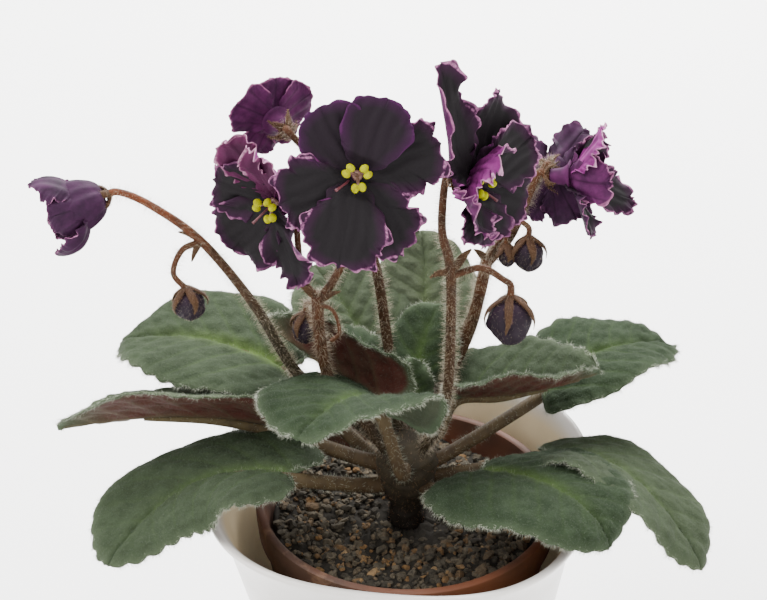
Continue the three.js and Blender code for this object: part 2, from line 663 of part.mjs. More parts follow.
function petal(throat, frame, [angle, length, width, root, end, cup, frill], order, extra) {
  const { degToRad } = THREE.MathUtils;
  const turn = degToRad(angle);
  const outward = frame.right.clone().multiplyScalar(Math.cos(turn))
    .addScaledVector(frame.up, Math.sin(turn));
  const across = frame.axis.clone().cross(outward);
  const half = width / 2;
  return blade({
    outline: PETAL_OUTLINE, length: length - PETAL_START, width, rows: 5, columns: 2,
    tooth: 0, thickness: PETAL_THICKNESS, grow: extra,
    place: (along, aside, edge, run) => {
      const rise = degToRad(root);
      const turnOver = degToRad(end - root);
      const [out, forward] = arc(rise, turnOver, 1, along / length, length);
      const layer = PETAL_LAYERS[order] * Math.min(1, along / 4);
      const slope = rise + turnOver * (along / length);
      const [wide, lift] = arc(0, degToRad(cup), 1, Math.abs(aside) / half, half);
      const wave = frill * edge ** 2 * Math.sin(run * 12.6 * Math.sign(aside) + order * 2);
      const raised = lift + wave;
      return throat.clone()
        .addScaledVector(outward, PETAL_START + out - raised * Math.sin(slope))
        .addScaledVector(frame.axis, forward + raised * Math.cos(slope) - 0.5 + layer)
        .addScaledVector(across, Math.sign(aside) * wide);
    },
  });
}

function bloom(shape, extra) {
  const frame = faceFrame(shape.faces);
  const throat = vector(shape.throat);
  const tube = new THREE.LineCurve3(
    throat.clone().addScaledVector(frame.axis, -TUBE_LENGTH - extra),
    throat.clone().addScaledVector(frame.axis, extra),
  );
  const tubeRadii = [TUBE_RADIUS * TUBE_TAPER + extra, TUBE_RADIUS + 0.5 + extra];
  const pieces = [taperedTube(tube, tubeRadii, 6, 1)];
  shape.petals.forEach((values, order) => pieces.push(petal(throat, frame, values, order, extra)));
  if (shape.style !== null) pieces.push(style(shape, frame, throat, extra));
  return join(pieces);
}

/** The thin style that leans out of the throat beside the stamens. */
function style(shape, frame, throat, extra) {
  const turn = THREE.MathUtils.degToRad(shape.style);
  const lean = frame.right.clone().multiplyScalar(Math.cos(turn))
    .addScaledVector(frame.up, Math.sin(turn));
  const at = (forward, aside) => throat.clone()
    .addScaledVector(frame.axis, forward).addScaledVector(lean, aside);
  return taperedTube(smoothPath([at(-1, 2.1), at(2.5, 3), at(5.5, 6)]),
    [0.5 + extra, 0.4 + extra, 0.4 + extra], 3, 2);
}

/** Three short filaments on one foot, each ending in a pair of yellow lobes. */
function stamens(shape) {
  const { axis, right, up } = faceFrame(shape.faces);
  const throat = vector(shape.throat);
  const turn = THREE.MathUtils.degToRad(shape.style + 180);
  const at = (forward, out, angle) => throat.clone().addScaledVector(axis, forward)
    .addScaledVector(right, out * Math.cos(angle)).addScaledVector(up, out * Math.sin(angle));
  const pieces = [taperedTube(new THREE.LineCurve3(at(GAP, 0.3, turn), at(1.3, 0.3, turn)),
    [1.4, 1], 5, 1)];
  for (let i = 0; i < 3; i += 1) {
    const angle = turn + (i - 1) * ANTHER_ANGLE;
    const spread = 0.4;
    pieces.push(taperedTube(new THREE.LineCurve3(at(0.8, 0.3, turn), at(4.2, 2.4, angle)),
      [0.5, 0.5], 3, 1));
    pieces.push(taperedTube(new THREE.LineCurve3(at(4.4, 3.2, angle - 1.5 * spread),
      at(4.4, 3.2, angle + 1.5 * spread)), [0.5, 1.25, 0.8, 1.25, 0.5], 5, 4));
  }
  return join(pieces);
}

const BUD_SECTION = [ // fraction of the length, fraction of the radius
  [0.02, 0.36], [0.14, 0.74], [0.36, 1], [0.6, 0.98], [0.8, 0.7], [0.95, 0.3],
];

function budRadius(shape, part) {
  let low = 0;
  while (low < BUD_SECTION.length - 2 && part > BUD_SECTION[low + 1][0]) low += 1;
  const [from, wide] = BUD_SECTION[low];
  const [to, wideNext] = BUD_SECTION[low + 1];
  return shape.radius * THREE.MathUtils.mapLinear(part, from, to, wide, wideNext);
}

/** A closed bud: five petals wound round each other, seen as five slanted folds. */
function bud(shape, extra) {
  const frame = faceFrame(shape.hangs);
  const top = vector(shape.top).addScaledVector(frame.axis, GAP);
  const sectors = 10;
  const rings = BUD_SECTION.map(([part]) => Array.from({ length: sectors }, (_, i) => {
    const angle = (i / sectors) * 2 * Math.PI + part * 1.1;
    const fold = i % 2 ? 1.03 : 0.92;
    const radius = budRadius(shape, part) * fold + extra;
    return top.clone().addScaledVector(frame.axis, part * shape.length)
      .addScaledVector(frame.right, radius * Math.cos(angle))
      .addScaledVector(frame.up, radius * Math.sin(angle));
  }));
  return loft(rings, top.clone(), top.clone().addScaledVector(frame.axis, shape.length));
}

/** Five narrow sepals round the end of a stalk, spread behind a bloom or hugging a bud. */
function sepals(seat, frame, reach, extra) {
  const pieces = [];
  for (let i = 0; i < SEPALS; i += 1) {
    const angle = ((i + 0.5) / SEPALS) * 2 * Math.PI;
    const outward = frame.right.clone().multiplyScalar(Math.cos(angle))
      .addScaledVector(frame.up, Math.sin(angle));
    const across = frame.axis.clone().cross(outward);
    const path = smoothPath(reach.map(([out, forward]) => (
      seat.clone().addScaledVector(outward, out).addScaledVector(frame.axis, forward))));
    pieces.push(taperedTube(path, [0.3 + extra, 0.45 + extra, 0.3 + extra], 4, 2,
      { across, ratio: 2.2 }));
  }
  return pieces;
}

/** Where a bloom or bud is held, the way it points, and the line its sepals follow. */
function seatOf(name) {
  const open = BLOOMS[name] ?? (name === 'bud_half_open' ? HALF_OPEN_BUD : null);
  if (open) {
    const frame = faceFrame(open.faces);
    const seat = vector(open.throat).addScaledVector(frame.axis, -TUBE_LENGTH - GAP);
    return { frame, seat, reach: SEPAL_BLOOM };
  }
  const closed = BUDS[name];
  const frame = faceFrame(closed.hangs);
  const clear = GAP + 0.95;
  const reach = [[0.5, -0.9]];
  for (const part of [0.14, 0.42, 0.68]) {
    reach.push([budRadius(closed, part) * 1.04 + clear, part * closed.length + GAP]);
  }
  return { frame, seat: vector(closed.top), reach };
}

function stalk(shape, extra) {
  const pieces = [];
  for (const { path, radii, carries } of shape.branches) {
    const points = path.map(vector);
    if (carries) {
      const { frame, seat, reach } = seatOf(carries);
      points.push(seat.clone().addScaledVector(frame.axis, -3.5), seat.clone());
      pieces.push(...sepals(seat, frame, reach, extra));
    }
    const grown = radii.map((radius) => radius + extra);
    const steps = Math.round(STEPS_PER_POINT * (points.length - 1));
    pieces.push(taperedTube(smoothPath(points), grown, 5, steps));
  }
  for (const { at, to, width } of shape.bracts) {
    const line = new THREE.LineCurve3(vector(at), vector(to));
    const across = new THREE.Vector3(0, 1, 0).cross(line.getTangent(0)).normalize();
    pieces.push(taperedTube(line, [0.5 + extra, 0.5 + extra, 0.3 + extra], 4, 2,
      { across, ratio: width }));
  }
  return join(pieces);
}

// ---- assembly ----------------------------------------------------------------------------

const group = new THREE.Group();
group.add(meshFrom('outer_pot', outerPot(), WHITE_POT));
group.add(meshFrom('grow_pot', growPot(), BROWN_POT));
group.add(meshFrom('potting_mix', pottingMix(), MIX));
group.add(meshFrom('crown', crown(0), CROWN_GREEN));

// Every organ is cut clear of the grown outline of the organs before it that it comes near.
const placed = [{ grown: crown(CUT_GAP) }];

function near(first, second) {
  const a = first.boundingBox();
  const b = second.boundingBox();
  return [0, 1, 2].every((axis) => a.min[axis] < b.max[axis] && b.min[axis] < a.max[axis]);
}

function addOrgan(name, build, material) {
  let solid = build(0);
  for (const { grown } of placed) {
    if (near(solid, grown)) solid = solid.subtract(grown);
  }
  placed.push({ grown: build(CUT_GAP) });
  group.add(meshFrom(name, solid, material));
}

for (const [name, shape] of Object.entries(STALKS)) {
  addOrgan(name, (extra) => stalk(shape, extra), STALK_BROWN);
}
for (const [name, shape] of Object.entries(LEAVES)) {
  addOrgan(name, (extra) => leaf(shape, extra), LEAF_GREEN);
}
for (const [name, shape] of Object.entries(BLOOMS)) {
  addOrgan(name, (extra) => bloom(shape, extra), PETAL_PURPLE);
  const cluster = stamens(shape).subtract(bloom(shape, CUT_GAP));
  group.add(meshFrom(name.replace('bloom', 'stamens'), cluster, ANTHER_YELLOW));
}
addOrgan('bud_half_open', (extra) => bloom(HALF_OPEN_BUD, extra), PETAL_PURPLE);
for (const [name, shape] of Object.entries(BUDS)) {
  addOrgan(name, (extra) => bud(shape, extra), PETAL_PURPLE);
}

export default group;
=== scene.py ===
import math

import bpy
import numpy as np
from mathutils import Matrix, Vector


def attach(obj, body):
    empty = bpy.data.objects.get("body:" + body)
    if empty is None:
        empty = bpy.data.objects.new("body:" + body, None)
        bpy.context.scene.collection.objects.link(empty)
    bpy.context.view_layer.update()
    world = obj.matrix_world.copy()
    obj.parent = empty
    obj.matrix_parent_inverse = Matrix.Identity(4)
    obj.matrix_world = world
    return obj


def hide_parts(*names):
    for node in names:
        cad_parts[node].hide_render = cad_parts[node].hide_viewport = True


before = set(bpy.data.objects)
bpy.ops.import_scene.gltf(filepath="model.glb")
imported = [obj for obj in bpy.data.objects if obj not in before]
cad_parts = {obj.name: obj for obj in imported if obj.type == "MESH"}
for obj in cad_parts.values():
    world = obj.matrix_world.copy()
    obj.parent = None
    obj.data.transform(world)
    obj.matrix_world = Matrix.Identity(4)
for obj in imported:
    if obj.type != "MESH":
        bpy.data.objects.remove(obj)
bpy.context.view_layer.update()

# The finish of a potted african violet. Lengths in the tables are millimetres, as in the solids'
# source; the meshes are metres. +X is the viewer's right, -Y faces the viewer, +Z is up.

MM = 0.001
random = np.random.default_rng(19)

# ---- sizes --------------------------------------------------------------------------------

POT_HEIGHT = 97.0
POT_FOOT_RADIUS = 37.0
POT_LIP_RADIUS = 58.3
POT_LOBE = 2.4
POT_LOBE_TURN = math.radians(35)
POT_LEAN = 1.8
POT_WALL = 2.2
POT_FLOOR = 3.0
LIP_FLARE = 3.0

GROW_BOTTOM = 3.3
GROW_HEIGHT = 88.0
GROW_BASE_RADIUS = 31.0
GROW_RIM_RADIUS = 45.0
GROW_WALL = 2.0
GROW_COLLAR = 11.0
DRAIN_RADIUS = 3.5
DRAIN_RING = 19.0
DRAINS = 5

MIX_TOP = 79.5
CROWN_PROFILE = [(4.8, 68), (5, 86), (8, 93), (9.2, 99), (8.6, 104), (5, 108)]

LEAF_OUTLINE = [(0.0, 0.06), (-0.07, 0.3), (-0.05, 0.6), (0.1, 0.88), (0.33, 1), (0.58, 0.93),
                (0.8, 0.68), (0.94, 0.34), (1, 0.05)]
PETAL_OUTLINE = [(0, 0.18), (0.18, 0.62), (0.42, 0.9), (0.68, 1), (0.87, 0.78), (0.97, 0.42),
                 (1, 0.08)]
PETAL_LAYERS = [0, 0.9, 0, 0.9, 1.8, 0.9, 1.8]
PETAL_START = 1.4
TUBE_LENGTH = 5.0
TUBE_RADIUS = 2.6
SEPAL_BLOOM = [(0.6, -1.2), (2.9, -0.3), (5.0, 2.4)]
SEPAL_CUP = [(0.8, -1.2), (2.7, 0.3), (3.9, 2.8), (4.9, 5.2)]
BUD_SECTION = [(0.02, 0.36), (0.14, 0.74), (0.36, 1), (0.6, 0.98), (0.8, 0.7), (0.95, 0.3)]
GAP = 0.3

PETIOLE_TAPER = [1.15, 1, 0.9, 0.62, 0.3]
ANTHER_ANGLE = 1.95
ANTHER_HALF_ANGLE = 0.62

# What the scene makes finer than the solids. A body is a blade's thickness, the share of it that
# is left at the margin, and how far in it is full.
TOOTH_LENGTH = 4.0
YOUNG_LEAF = 25
LEAF_BODY = (0.9, 0.4, 3.0)
PETAL_BODY = (0.55, 0.35, 2.0)
STEM_SHARE = 0.86
CRUMB_COUNT = 1900
LARGEST_CRUMB = 2.3
CRUMBS_FROM = 6.6
CRUMBS_SHORT_OF_EDGE = 1.8
CUP_LENGTH = 10.2
CUP_FOOT_RADIUS = 1.8
CUP_SWELL = 5.3
SEPAL_TAPER = [0.3, 0.38, 0.36, 0.27, 0.15, 0.05]
BRACT_TAPER = [0.4, 0.5, 0.45, 0.3, 0.1]
STYLE_TAPER = [0.42, 0.34, 0.3, 0.28, 0.42]

# Hairs: how many, how long, the radius at the foot, and how far they stray. The number is for
# each 1000 square millimetres of a leaf's face or back, and for each millimetre of a stalk.
HAIRS = {
    "crown": (1100, 1.2, 0.022, 0.4),
    "leaf face": (4200, 0.7, 0.03, 0.6),
    "leaf back": (1800, 0.8, 0.03, 0.5),
    "petiole": (700, 1.5, 0.025, 0.35),
    "young petiole": (80, 1.5, 0.025, 0.35),
    "stalk": (36, 2.3, 0.022, 0.3),
    "sepals": (2000, 0.65, 0.02, 0.4),
    "bud": (500, 0.55, 0.018, 0.45),
}
FRINGE, YOUNG_FRINGE = 2200, 420
FRINGE_RADIUS = 0.034

# The camera stands where the photo's stood. Its lens is 1500 pixels long, in a picture 767 wide.
CAMERA_PLACE = (-0.0068, -0.3587, 0.3631)
CAMERA_LOOKS_DOWN = 30.15
LENS_SHARE = 1500 / 767
SENSOR = 36

# A light: its place in metres, its size and its power. The room lights the plant from all round.
ROOM_LIGHT = 1.95
ROOM_COLOUR = (1.0, 0.985, 0.96, 1)
LIGHTS = {"window": ((-0.75, -0.15, 1.15), 0.9, 26.0), "fill": ((0.9, -0.9, 0.7), 1.2, 7.0),
          "back": ((0.2, 1.0, 1.2), 1.2, 95.0)}

# A leaf: its petiole's turn in degrees and height on the crown; the base, middle and tip of its
# midrib; its width; the fold and the curl of its left and right half in degrees; the petiole's
# radius; and how late the curl comes, where that isn't 1.
LEAVES = {
    "leaf_front_left": ((200, 94), (-33, -15.5, 107), (-62, -13.5, 101.5), (-83.5, -36, 91), 48,
        (18, -3), (-20, -5), 2.3),
    "leaf_left": ((172, 99), (-36, 9, 105.5), (-66, 8, 111), (-103.5, 8, 106.5), 38, (60, 2),
        (-10, -10), 2.3),
    "leaf_front": ((262, 104), (-6, -11.5, 125.5), (-16.5, -21, 136), (-29.5, -40.5, 137), 54,
        (20, 1), (6, -21), 2),
    "leaf_front_right": ((318, 95), (20.5, -5.5, 100.5), (42.5, -27.5, 110), (55, -41, 101), 59.5,
        (-5, 17), (-15, -28.5), 2.2),
    "leaf_right_low": ((6, 94), (42, 2, 101), (64.5, -9, 101.5), (83.5, -31, 85), 39, (-14, 24),
        (-1.5, 0.5), 2.2),
    "leaf_right_far": ((24, 98), (41, 22, 110), (61, 33, 118), (84, 44, 113), 40, (8, 14),
        (-10, -15), 2.1),
    "leaf_right": ((40, 104), (14.5, 8.5, 117.5), (36.5, 7, 120.5), (56, 7, 127.5), 45, (28, 44),
        (-30, 4), 1.9),
    "leaf_left_back": ((148, 97), (-36, 22, 118), (-61, 28, 125), (-88, 36, 119.5), 50, (8, 16),
        (-15, -12), 2.2),
    "leaf_back": ((88, 98), (5, 28, 124), (6, 44, 137), (5, 55, 148), 34, (10, 10), (-15, -15), 2),
    "leaf_back_left": ((118, 101), (-10, 20, 124), (-18, 31, 134), (-28, 42, 143), 42, (12, 12),
        (-15, -15), 1.9),
    "leaf_heart_left": ((150, 105), (-5, 3, 119), (-22, 8, 128), (-41, 18, 137), 38, (84, 14),
        (-20, -10), 1.5, 2),
    "leaf_heart_back": ((70, 104), (3, 12, 122), (5, 19, 130), (10, 27, 138), 24, (12, 12),
        (-20, -20), 1.4),
    "leaf_heart": ((95, 107), (2, 4.5, 118), (1.5, 6.5, 124), (2, 9, 130), 13, (20, 20),
        (-20, -20), 1.1),
}

# A stalk: its branches (path, radii and what it carries), then its bracts (start, end, width).
STALKS = {
    "stalk_left": ([
        ([(-4, 1, 102), (-15, 0, 114), (-31.5, 0, 131), (-42.5, 0, 153), (-56, 0, 173),
         (-69, 0, 184)], [2, 1.9, 1.8, 1.6, 1.4, 1.2, 1.1, 1.4], "bud_half_open"),
        ([(-56, 0, 173), (-61, -3, 172), (-63.5, -5, 166)], [1.1, 1, 0.9, 0.9, 1], "bud_left")
    ], [((-56.5, 0, 173.5), (-62, -1, 176.5), 1.6), ((-56.5, -1, 173), (-58.5, -4, 169), 1.6)]),
    "stalk_centre": ([
        ([(-4, -2, 102), (-12, -1, 114), (-22, 0, 128), (-24.5, -3, 145), (-24.8, -6, 160)],
         [2, 2, 1.9, 1.85, 2], None),
        ([(-24.8, -6, 158), (-20, -6, 165), (-15, -10, 180)], [1.5, 1.3, 1.2, 1.2, 1.8],
         "bloom_centre"),
        ([(-24.8, -6, 159), (-29, -4, 166)], [1.2, 1, 1.1, 1.7], "bloom_left"),
        ([(-24.8, -5.5, 158), (-27, -2, 155)], [0.9, 0.8, 0.9, 1], "bud_centre"),
        ([(-24.8, -6, 157), (-20.5, -8, 156), (-18.8, -9, 150), (-21, -9, 147)],
         [0.8, 0.6, 0.6, 0.8], None)
    ], [((-25.5, -6, 159), (-29.5, -8, 164), 1.8), ((-24, -6, 158), (-18.5, -8, 162), 1.8)]),
    "stalk_back_left": ([
        ([(-2, 3, 104), (-4, 12, 118), (-6, 20, 132), (-10, 20, 158), (-20, 20, 180)],
         [1.9, 1.9, 1.8, 1.7, 1.3, 1.1, 1.7], "bloom_back_left")
    ], []),
    "stalk_right": ([
        ([(3, -2, 103), (8, -6, 115), (11, -9, 130), (11.5, -10, 150), (11, -10, 170),
         (8.5, -10, 182)], [1.8, 1.8, 1.7, 1.6, 1.6, 1.3, 1.2, 1.7], "bloom_right"),
        ([(11.5, -10, 168), (19, -11, 171), (25, -12, 168)], [1.1, 1.1, 1, 1.1, 1.3], "bud_right")
    ], [((10.5, -10, 169), (5.5, -11, 168), 1.8), ((12, -10, 170), (16.5, -8, 175), 2.2)]),
    "stalk_right_back": ([
        ([(4, 4, 103), (10, 12, 116), (18, 20, 131), (21, 20, 144), (23, 20, 157)],
         [2.2, 2.2, 2.1, 2, 2.1], None),
        ([(23, 20, 155), (30, 20, 165)], [1.5, 1.3, 1.2, 1.8], "bloom_right_back"),
        ([(23, 20, 156), (26.5, 18.7, 165), (30.3, 17, 170.4)], [1, 0.9, 0.8, 0.9, 1],
         "bud_right_back"),
        ([(23, 20, 156), (25.5, 17.5, 163)], [0.9, 0.7, 0.8, 0.8], "bud_right_small")
    ], [((23, 20, 156), (19, 18, 161), 2)]),
    "stalk_right_far": ([
        ([(3, 5, 104), (11, 18, 118), (20, 27, 134), (24, 29, 152), (32, 28, 168)],
         [2, 2, 1.9, 1.8, 1.4, 1.2, 1.7], "bloom_right_far")
    ], []),
}

# A bloom: its throat, the way it faces, its style's angle, and its petals. A petal: its angle,
# length and width, its slope at the root and at the end, its cup, all angles in degrees, and
# how far it is frilled.
BLOOMS = {
    "bloom_centre": ((-13.5, -24, 204), (0.05, -0.93, 0.36), -150, [(20, 22.5, 19, 10, -4, 8, 1),
        (66, 20.5, 18, 2, -6, 6, 0.3), (117, 19.5, 18, 12, 4, 8, 0.3),
        (199, 20.5, 19, 6, -10, 8, 1), (257, 23.5, 21, 10, -4, 8, 1),
        (297, 22.5, 19, 4, -12, 8, 1)]),
    "bloom_left": ((-35.5, -4, 187), (-0.5, -0.85, -0.12), -130, [(82, 20, 15, 18, 30, 25, 1.4),
        (115, 22, 15, 8, 16, 25, 1.4), (165, 18, 19, 22, 4, 10, 1), (231, 23, 22, 12, -6, 10, 1),
        (286, 24, 13, 10, -10, 25, 1.3)]),
    "bloom_back_left": ((-36.5, 22, 199), (-0.55, 0.8, 0.15), -90, [(32, 16, 17, 14, 0, 10, 0.6),
        (96, 13.5, 17, 18, 4, 10, 0.6), (156, 15, 15, 14, 0, 10, 0.6),
        (222, 13, 13, 16, -2, 10, 0.6), (290, 14, 14, 16, -2, 10, 0.6)]),
    "bloom_right": ((16, -10, 195.5), (0.72, -0.66, 0.14), -60, [(-28, 20, 20, 20, 8, 10, 1),
        (26, 20, 20, 28, 12, 12, 1), (62, 24, 18, 10, 0, 14, 1.3), (118, 37, 17, 12, 2, 18, 1.3),
        (120, 16, 22, 20, 110, 20, 1.2), (214, 17, 18, 25, 60, 25, 1.2),
        (258, 16.5, 20, 22, 6, 20, 1.1)]),
    "bloom_right_back": ((44.5, 18, 184), (0.95, -0.22, 0.12), -40, [(20, 18, 15, 35, 30, 20, 1),
        (95, 18, 14, 44, 30, 25, 1), (170, 17, 14, 45, 80, 25, 1), (245, 18, 16, 26, 10, 15, 1),
        (310, 23, 13, 42, 42, 15, 1)]),
    "bloom_right_far": ((41, 28, 181), (0.3, 0.75, -0.45), -90, [(18, 15, 13, 20, 4, 10, 1),
        (112, 17, 13, 30, 20, 20, 1), (168, 16, 15, 20, 4, 10, 1), (234, 16, 15, 14, -6, 10, 1),
        (306, 16, 15, 14, -6, 10, 1)]),
    "bud_half_open": ((-85.6, -1.4, 185.5), (-0.86, -0.25, -0.2), None,
        [(20, 14, 14, 52, 74, 50, 0.6), (95, 16, 16, 42, 74, 50, 0.6),
        (165, 13.5, 15, 52, 74, 50, 0.6), (226, 15, 16, 30, 96, 50, 0.6),
        (292, 17.5, 19, 8, 100, 40, 0.6)]),
}

# A bud: its top, the way it hangs, its length and radius.
BUDS = {
    "bud_left": ((-60, -6, 161.5), (0.1, -0.1, -1), 9, 4.3),
    "bud_centre": ((-28.5, 3, 148.5), (-0.05, 0, -1), 9.5, 3.7),
    "bud_right": ((27, -13, 163), (0.02, -0.15, -1), 13.5, 6.1),
    "bud_right_back": ((34, 15, 166), (0.05, -0.1, -1), 10, 4.3),
    "bud_right_small": ((28, 16, 163), (0.1, -0.2, -1), 6, 2.4),
}

# ---- materials ----------------------------------------------------------------------------

class Value:
    """A node's output. An expression on values adds the Math nodes that it needs."""

    def __init__(self, finish, socket):
        self.finish = finish
        self.socket = socket

    def math(self, operation, first, second):
        return self.finish.node("Math", {"operation": operation}, {0: first, 1: second})

    def __add__(self, other):
        return self.math("ADD", self, other)

    def __sub__(self, other):
        return self.math("SUBTRACT", self, other)

    def __rsub__(self, other):
        return self.math("SUBTRACT", other, self)

    def __mul__(self, other):
        return self.math("MULTIPLY", self, other)

    __radd__ = __add__
    __rmul__ = __mul__


def set_stops(elements, stops):
    """Gives a ramp its stops, each with its place and a colour or a grey."""
    while len(elements) < len(stops):
        elements.new(0.5)
    for element, (place, colour) in zip(elements, stops):
        element.position = place
        element.color = (*(colour if isinstance(colour, tuple) else (colour,) * 3), 1)


class Finish:
    """A material that is made of nodes."""

    def __init__(self, name):
        self.material = bpy.data.materials.new(name)
        self.material.use_nodes = True
        self.tree = self.material.node_tree
        self.tree.nodes.clear()
        self.place = self.node("TexCoord", output="Object")

    def node(self, kind, settings=None, inputs=None, output=0):
        """A node's output, after its settings and its sockets' values or links are set."""
        made = self.tree.nodes.new("ShaderNode" + kind)
        for key, value in (settings or {}).items():
            if key == "stops":
                set_stops(made.color_ramp.elements, value)
            else:
                setattr(made, key, value)
        for key, value in (inputs or {}).items():
            if isinstance(value, Value):
                self.tree.links.new(value.socket, made.inputs[key])
            else:
                colour = isinstance(value, tuple)
                made.inputs[key].default_value = (*value, 1) if colour else value
        return Value(self, made.outputs[output])

    def mark(self, name):
        """A value that the piece's own mesh carries."""
        return self.node("Attribute", {"attribute_name": name}, output="Fac")

    def noise(self, scale, detail=3.0, roughness=0.55):
        return self.node("TexNoise", inputs={"Vector": self.place, "Scale": scale,
                                             "Detail": detail, "Roughness": roughness})

    def ramp(self, value, stops):
        return self.node("ValToRGB", {"stops": stops}, {0: value})

    def fade(self, value, start, end, low=0.0, high=1.0):
        return self.ramp(value, [(start, low), (end, high)])

    def mix(self, low, high, mask):
        return self.node("Mix", {"data_type": "RGBA"}, {0: mask, 6: low, 7: high}, 2)

    def painted(self, colour, *coats):
        """A colour under coats of other colours, each where its mask lets it show."""
        for over, mask in coats:
            colour = self.mix(colour, over, mask)
        return colour

    def surface(self, colour, roughness, shine=0.5, relief=None, strength=0.3, depth=0.0006):
        inputs = {"Base Color": colour, "Roughness": roughness, "Specular IOR Level": shine}
        if relief is not None:
            inputs["Normal"] = self.node("Bump", inputs={"Height": relief, "Strength": strength,
                                                         "Distance": depth})
        shader = self.node("BsdfPrincipled", inputs=inputs)
        sink = self.tree.nodes.new("ShaderNodeOutputMaterial")
        self.tree.links.new(shader.socket, sink.inputs["Surface"])
        return self.material


# ---- shapes -------------------------------------------------------------------------------

def held(values):
    """Values kept from 0 to 1."""
    return np.clip(values, 0, 1)


def unit(vectors):
    vectors = np.asarray(vectors, float)
    return vectors / np.maximum(np.linalg.norm(vectors, axis=-1, keepdims=True), 1e-9)


def gone_along(line):
    """How far each point of a line is from its start, measured along it."""
    return np.concatenate([[0], np.cumsum(np.linalg.norm(np.diff(line, axis=0), axis=1))])


def on_line(where, gone, line):
    return np.stack([np.interp(where, gone, column) for column in line.T], -1)


def smooth_path(points, per_span=12, still=False):
    """A smooth line through points. Its ends run on straight, or come to a stop."""
    p = np.array(points, float)
    first, last = (p[0], p[-1]) if still else (2 * p[0] - p[1], 2 * p[-1] - p[-2])
    p = np.vstack([first, p, last])
    t = np.linspace(0, 1, per_span, endpoint=False)[:, None]
    spans = []
    for a, b, c, d in zip(p, p[1:], p[2:], p[3:]):
        leave, arrive = (c - a) / 2, (d - b) / 2
        spans.append((2 * t**3 - 3 * t**2 + 1) * b + (t**3 - 2 * t**2 + t) * leave
                     + (3 * t**2 - 2 * t**3) * c + (t**3 - t**2) * arrive)
    return np.vstack([*spans, p[-2:-1]])


def arc(start, turn, late, fraction, size):
    """How far along and up a strip reaches that starts at an angle and turns as it goes."""
    steps = (np.arange(12) + 0.5) / 12
    angle = start + turn * (steps * np.asarray(fraction)[..., None]) ** late
    reach = size * np.asarray(fraction)
    return reach * np.cos(angle).mean(-1), reach * np.sin(angle).mean(-1)


class Flower:
    """The place of a bloom or bud, and its axis, its right and its up."""

    def __init__(self, place, faces):
        self.place = np.array(place, float)
        self.axis = unit(faces)
        self.right = unit(np.cross((0, 0, 1), self.axis))
        self.up = np.cross(self.axis, self.right)

    def outward(self, angle):
        return self.right * math.cos(angle) + self.up * math.sin(angle)

    def at(self, forward, out, angle):
        return self.place + self.axis * forward + self.outward(angle) * out


def shown(piece, node, slot, *finishes):
    """Gives a piece its finishes, hangs it on the root body and hides the solid that it stands for.
    """
    for finish in finishes:
        piece.data.materials.append(finish)
    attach(piece, "root")
    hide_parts(node)


def set_marks(piece, **marks):
    """Gives a piece's points values that its finishes can read."""
    count = len(piece.data.vertices)
    for name, values in marks.items():
        mark = piece.data.attributes.new(name, "FLOAT", "POINT")
        mark.data.foreach_set("value", np.full(count, values, np.float32))


def from_points(name, points, faces, **marks):
    mesh = bpy.data.meshes.new(name)
    mesh.from_pydata((np.asarray(points) * MM).tolist(), [], [list(face) for face in faces])
    mesh.shade_smooth()
    piece = bpy.data.objects.new(name, mesh)
    bpy.context.scene.collection.objects.link(piece)
    set_marks(piece, **marks)
    return piece


def pick(*pieces):
    """Selects these pieces and no others."""
    bpy.ops.object.select_all(action="DESELECT")
    for piece in pieces:
        piece.select_set(True)
    if pieces:
        bpy.context.view_layer.objects.active = pieces[0]


def added(name, add, **settings):
    """A new piece, from the operator that adds it."""
    pick()
    add(**settings)
    piece = bpy.context.object
    piece.name = piece.data.name = name
    return piece


def apply(piece, modifier):
    pick(piece)
    bpy.ops.object.modifier_apply(modifier=modifier.name)


def crease(piece, degrees):
    """Shades a piece smooth but for its edges that are sharper than this."""
    pick(piece)
    bpy.ops.object.shade_smooth_by_angle(angle=math.radians(degrees))


def settle(piece):
    """Puts a piece's faces in one order. Some operators leave them in another on each run."""
    mesh = piece.data
    points = [tuple(vertex.co) for vertex in mesh.vertices]
    faces = []
    for face in mesh.polygons:
        corners = list(face.vertices)
        first = corners.index(min(corners))
        faces.append(corners[first:] + corners[:first])
    mesh.clear_geometry()
    mesh.from_pydata(points, [], sorted(faces))
    mesh.shade_smooth()


def joined(name, pieces):
    pick(*pieces)
    bpy.ops.object.join()
    pieces[0].name = name
    return pieces[0]


def turned(name, profile, sides):
    """A round piece: a circle drawn up and resized from one (radius, height) to the next."""
    radius, height = profile[0]
    piece = added(name, bpy.ops.mesh.primitive_circle_add, vertices=sides, radius=radius * MM,
                  fill_type="TRIFAN", location=(0, 0, height * MM))
    bpy.ops.object.transform_apply(location=True)
    bpy.ops.object.mode_set(mode="EDIT")
    bpy.ops.mesh.select_mode(type="EDGE")
    bpy.ops.mesh.select_all(action="SELECT")
    bpy.ops.mesh.region_to_loop()
    for wide, high in profile[1:]:
        bpy.ops.mesh.extrude_region_move(
            TRANSFORM_OT_translate={"value": (0, 0, (high - height) * MM)})
        bpy.ops.transform.resize(value=(wide / radius, wide / radius, 1),
                                 center_override=(0, 0, high * MM))
        radius, height = wide, high
    bpy.ops.mesh.extrude_region_move(TRANSFORM_OT_translate={"value": (0, 0, 0)})
    bpy.ops.mesh.merge(type="CENTER")
    bpy.ops.mesh.select_all(action="SELECT")
    bpy.ops.mesh.normals_make_consistent(inside=False)
    bpy.ops.object.mode_set(mode="OBJECT")
    settle(piece)
    return piece


def points_of(piece):
    flat = np.empty(len(piece.data.vertices) * 3)
    piece.data.vertices.foreach_get("co", flat)
    return flat.reshape(-1, 3) / MM


def set_points(piece, points):
    piece.data.vertices.foreach_set("co", (np.asarray(points) * MM).ravel())
    piece.data.update()


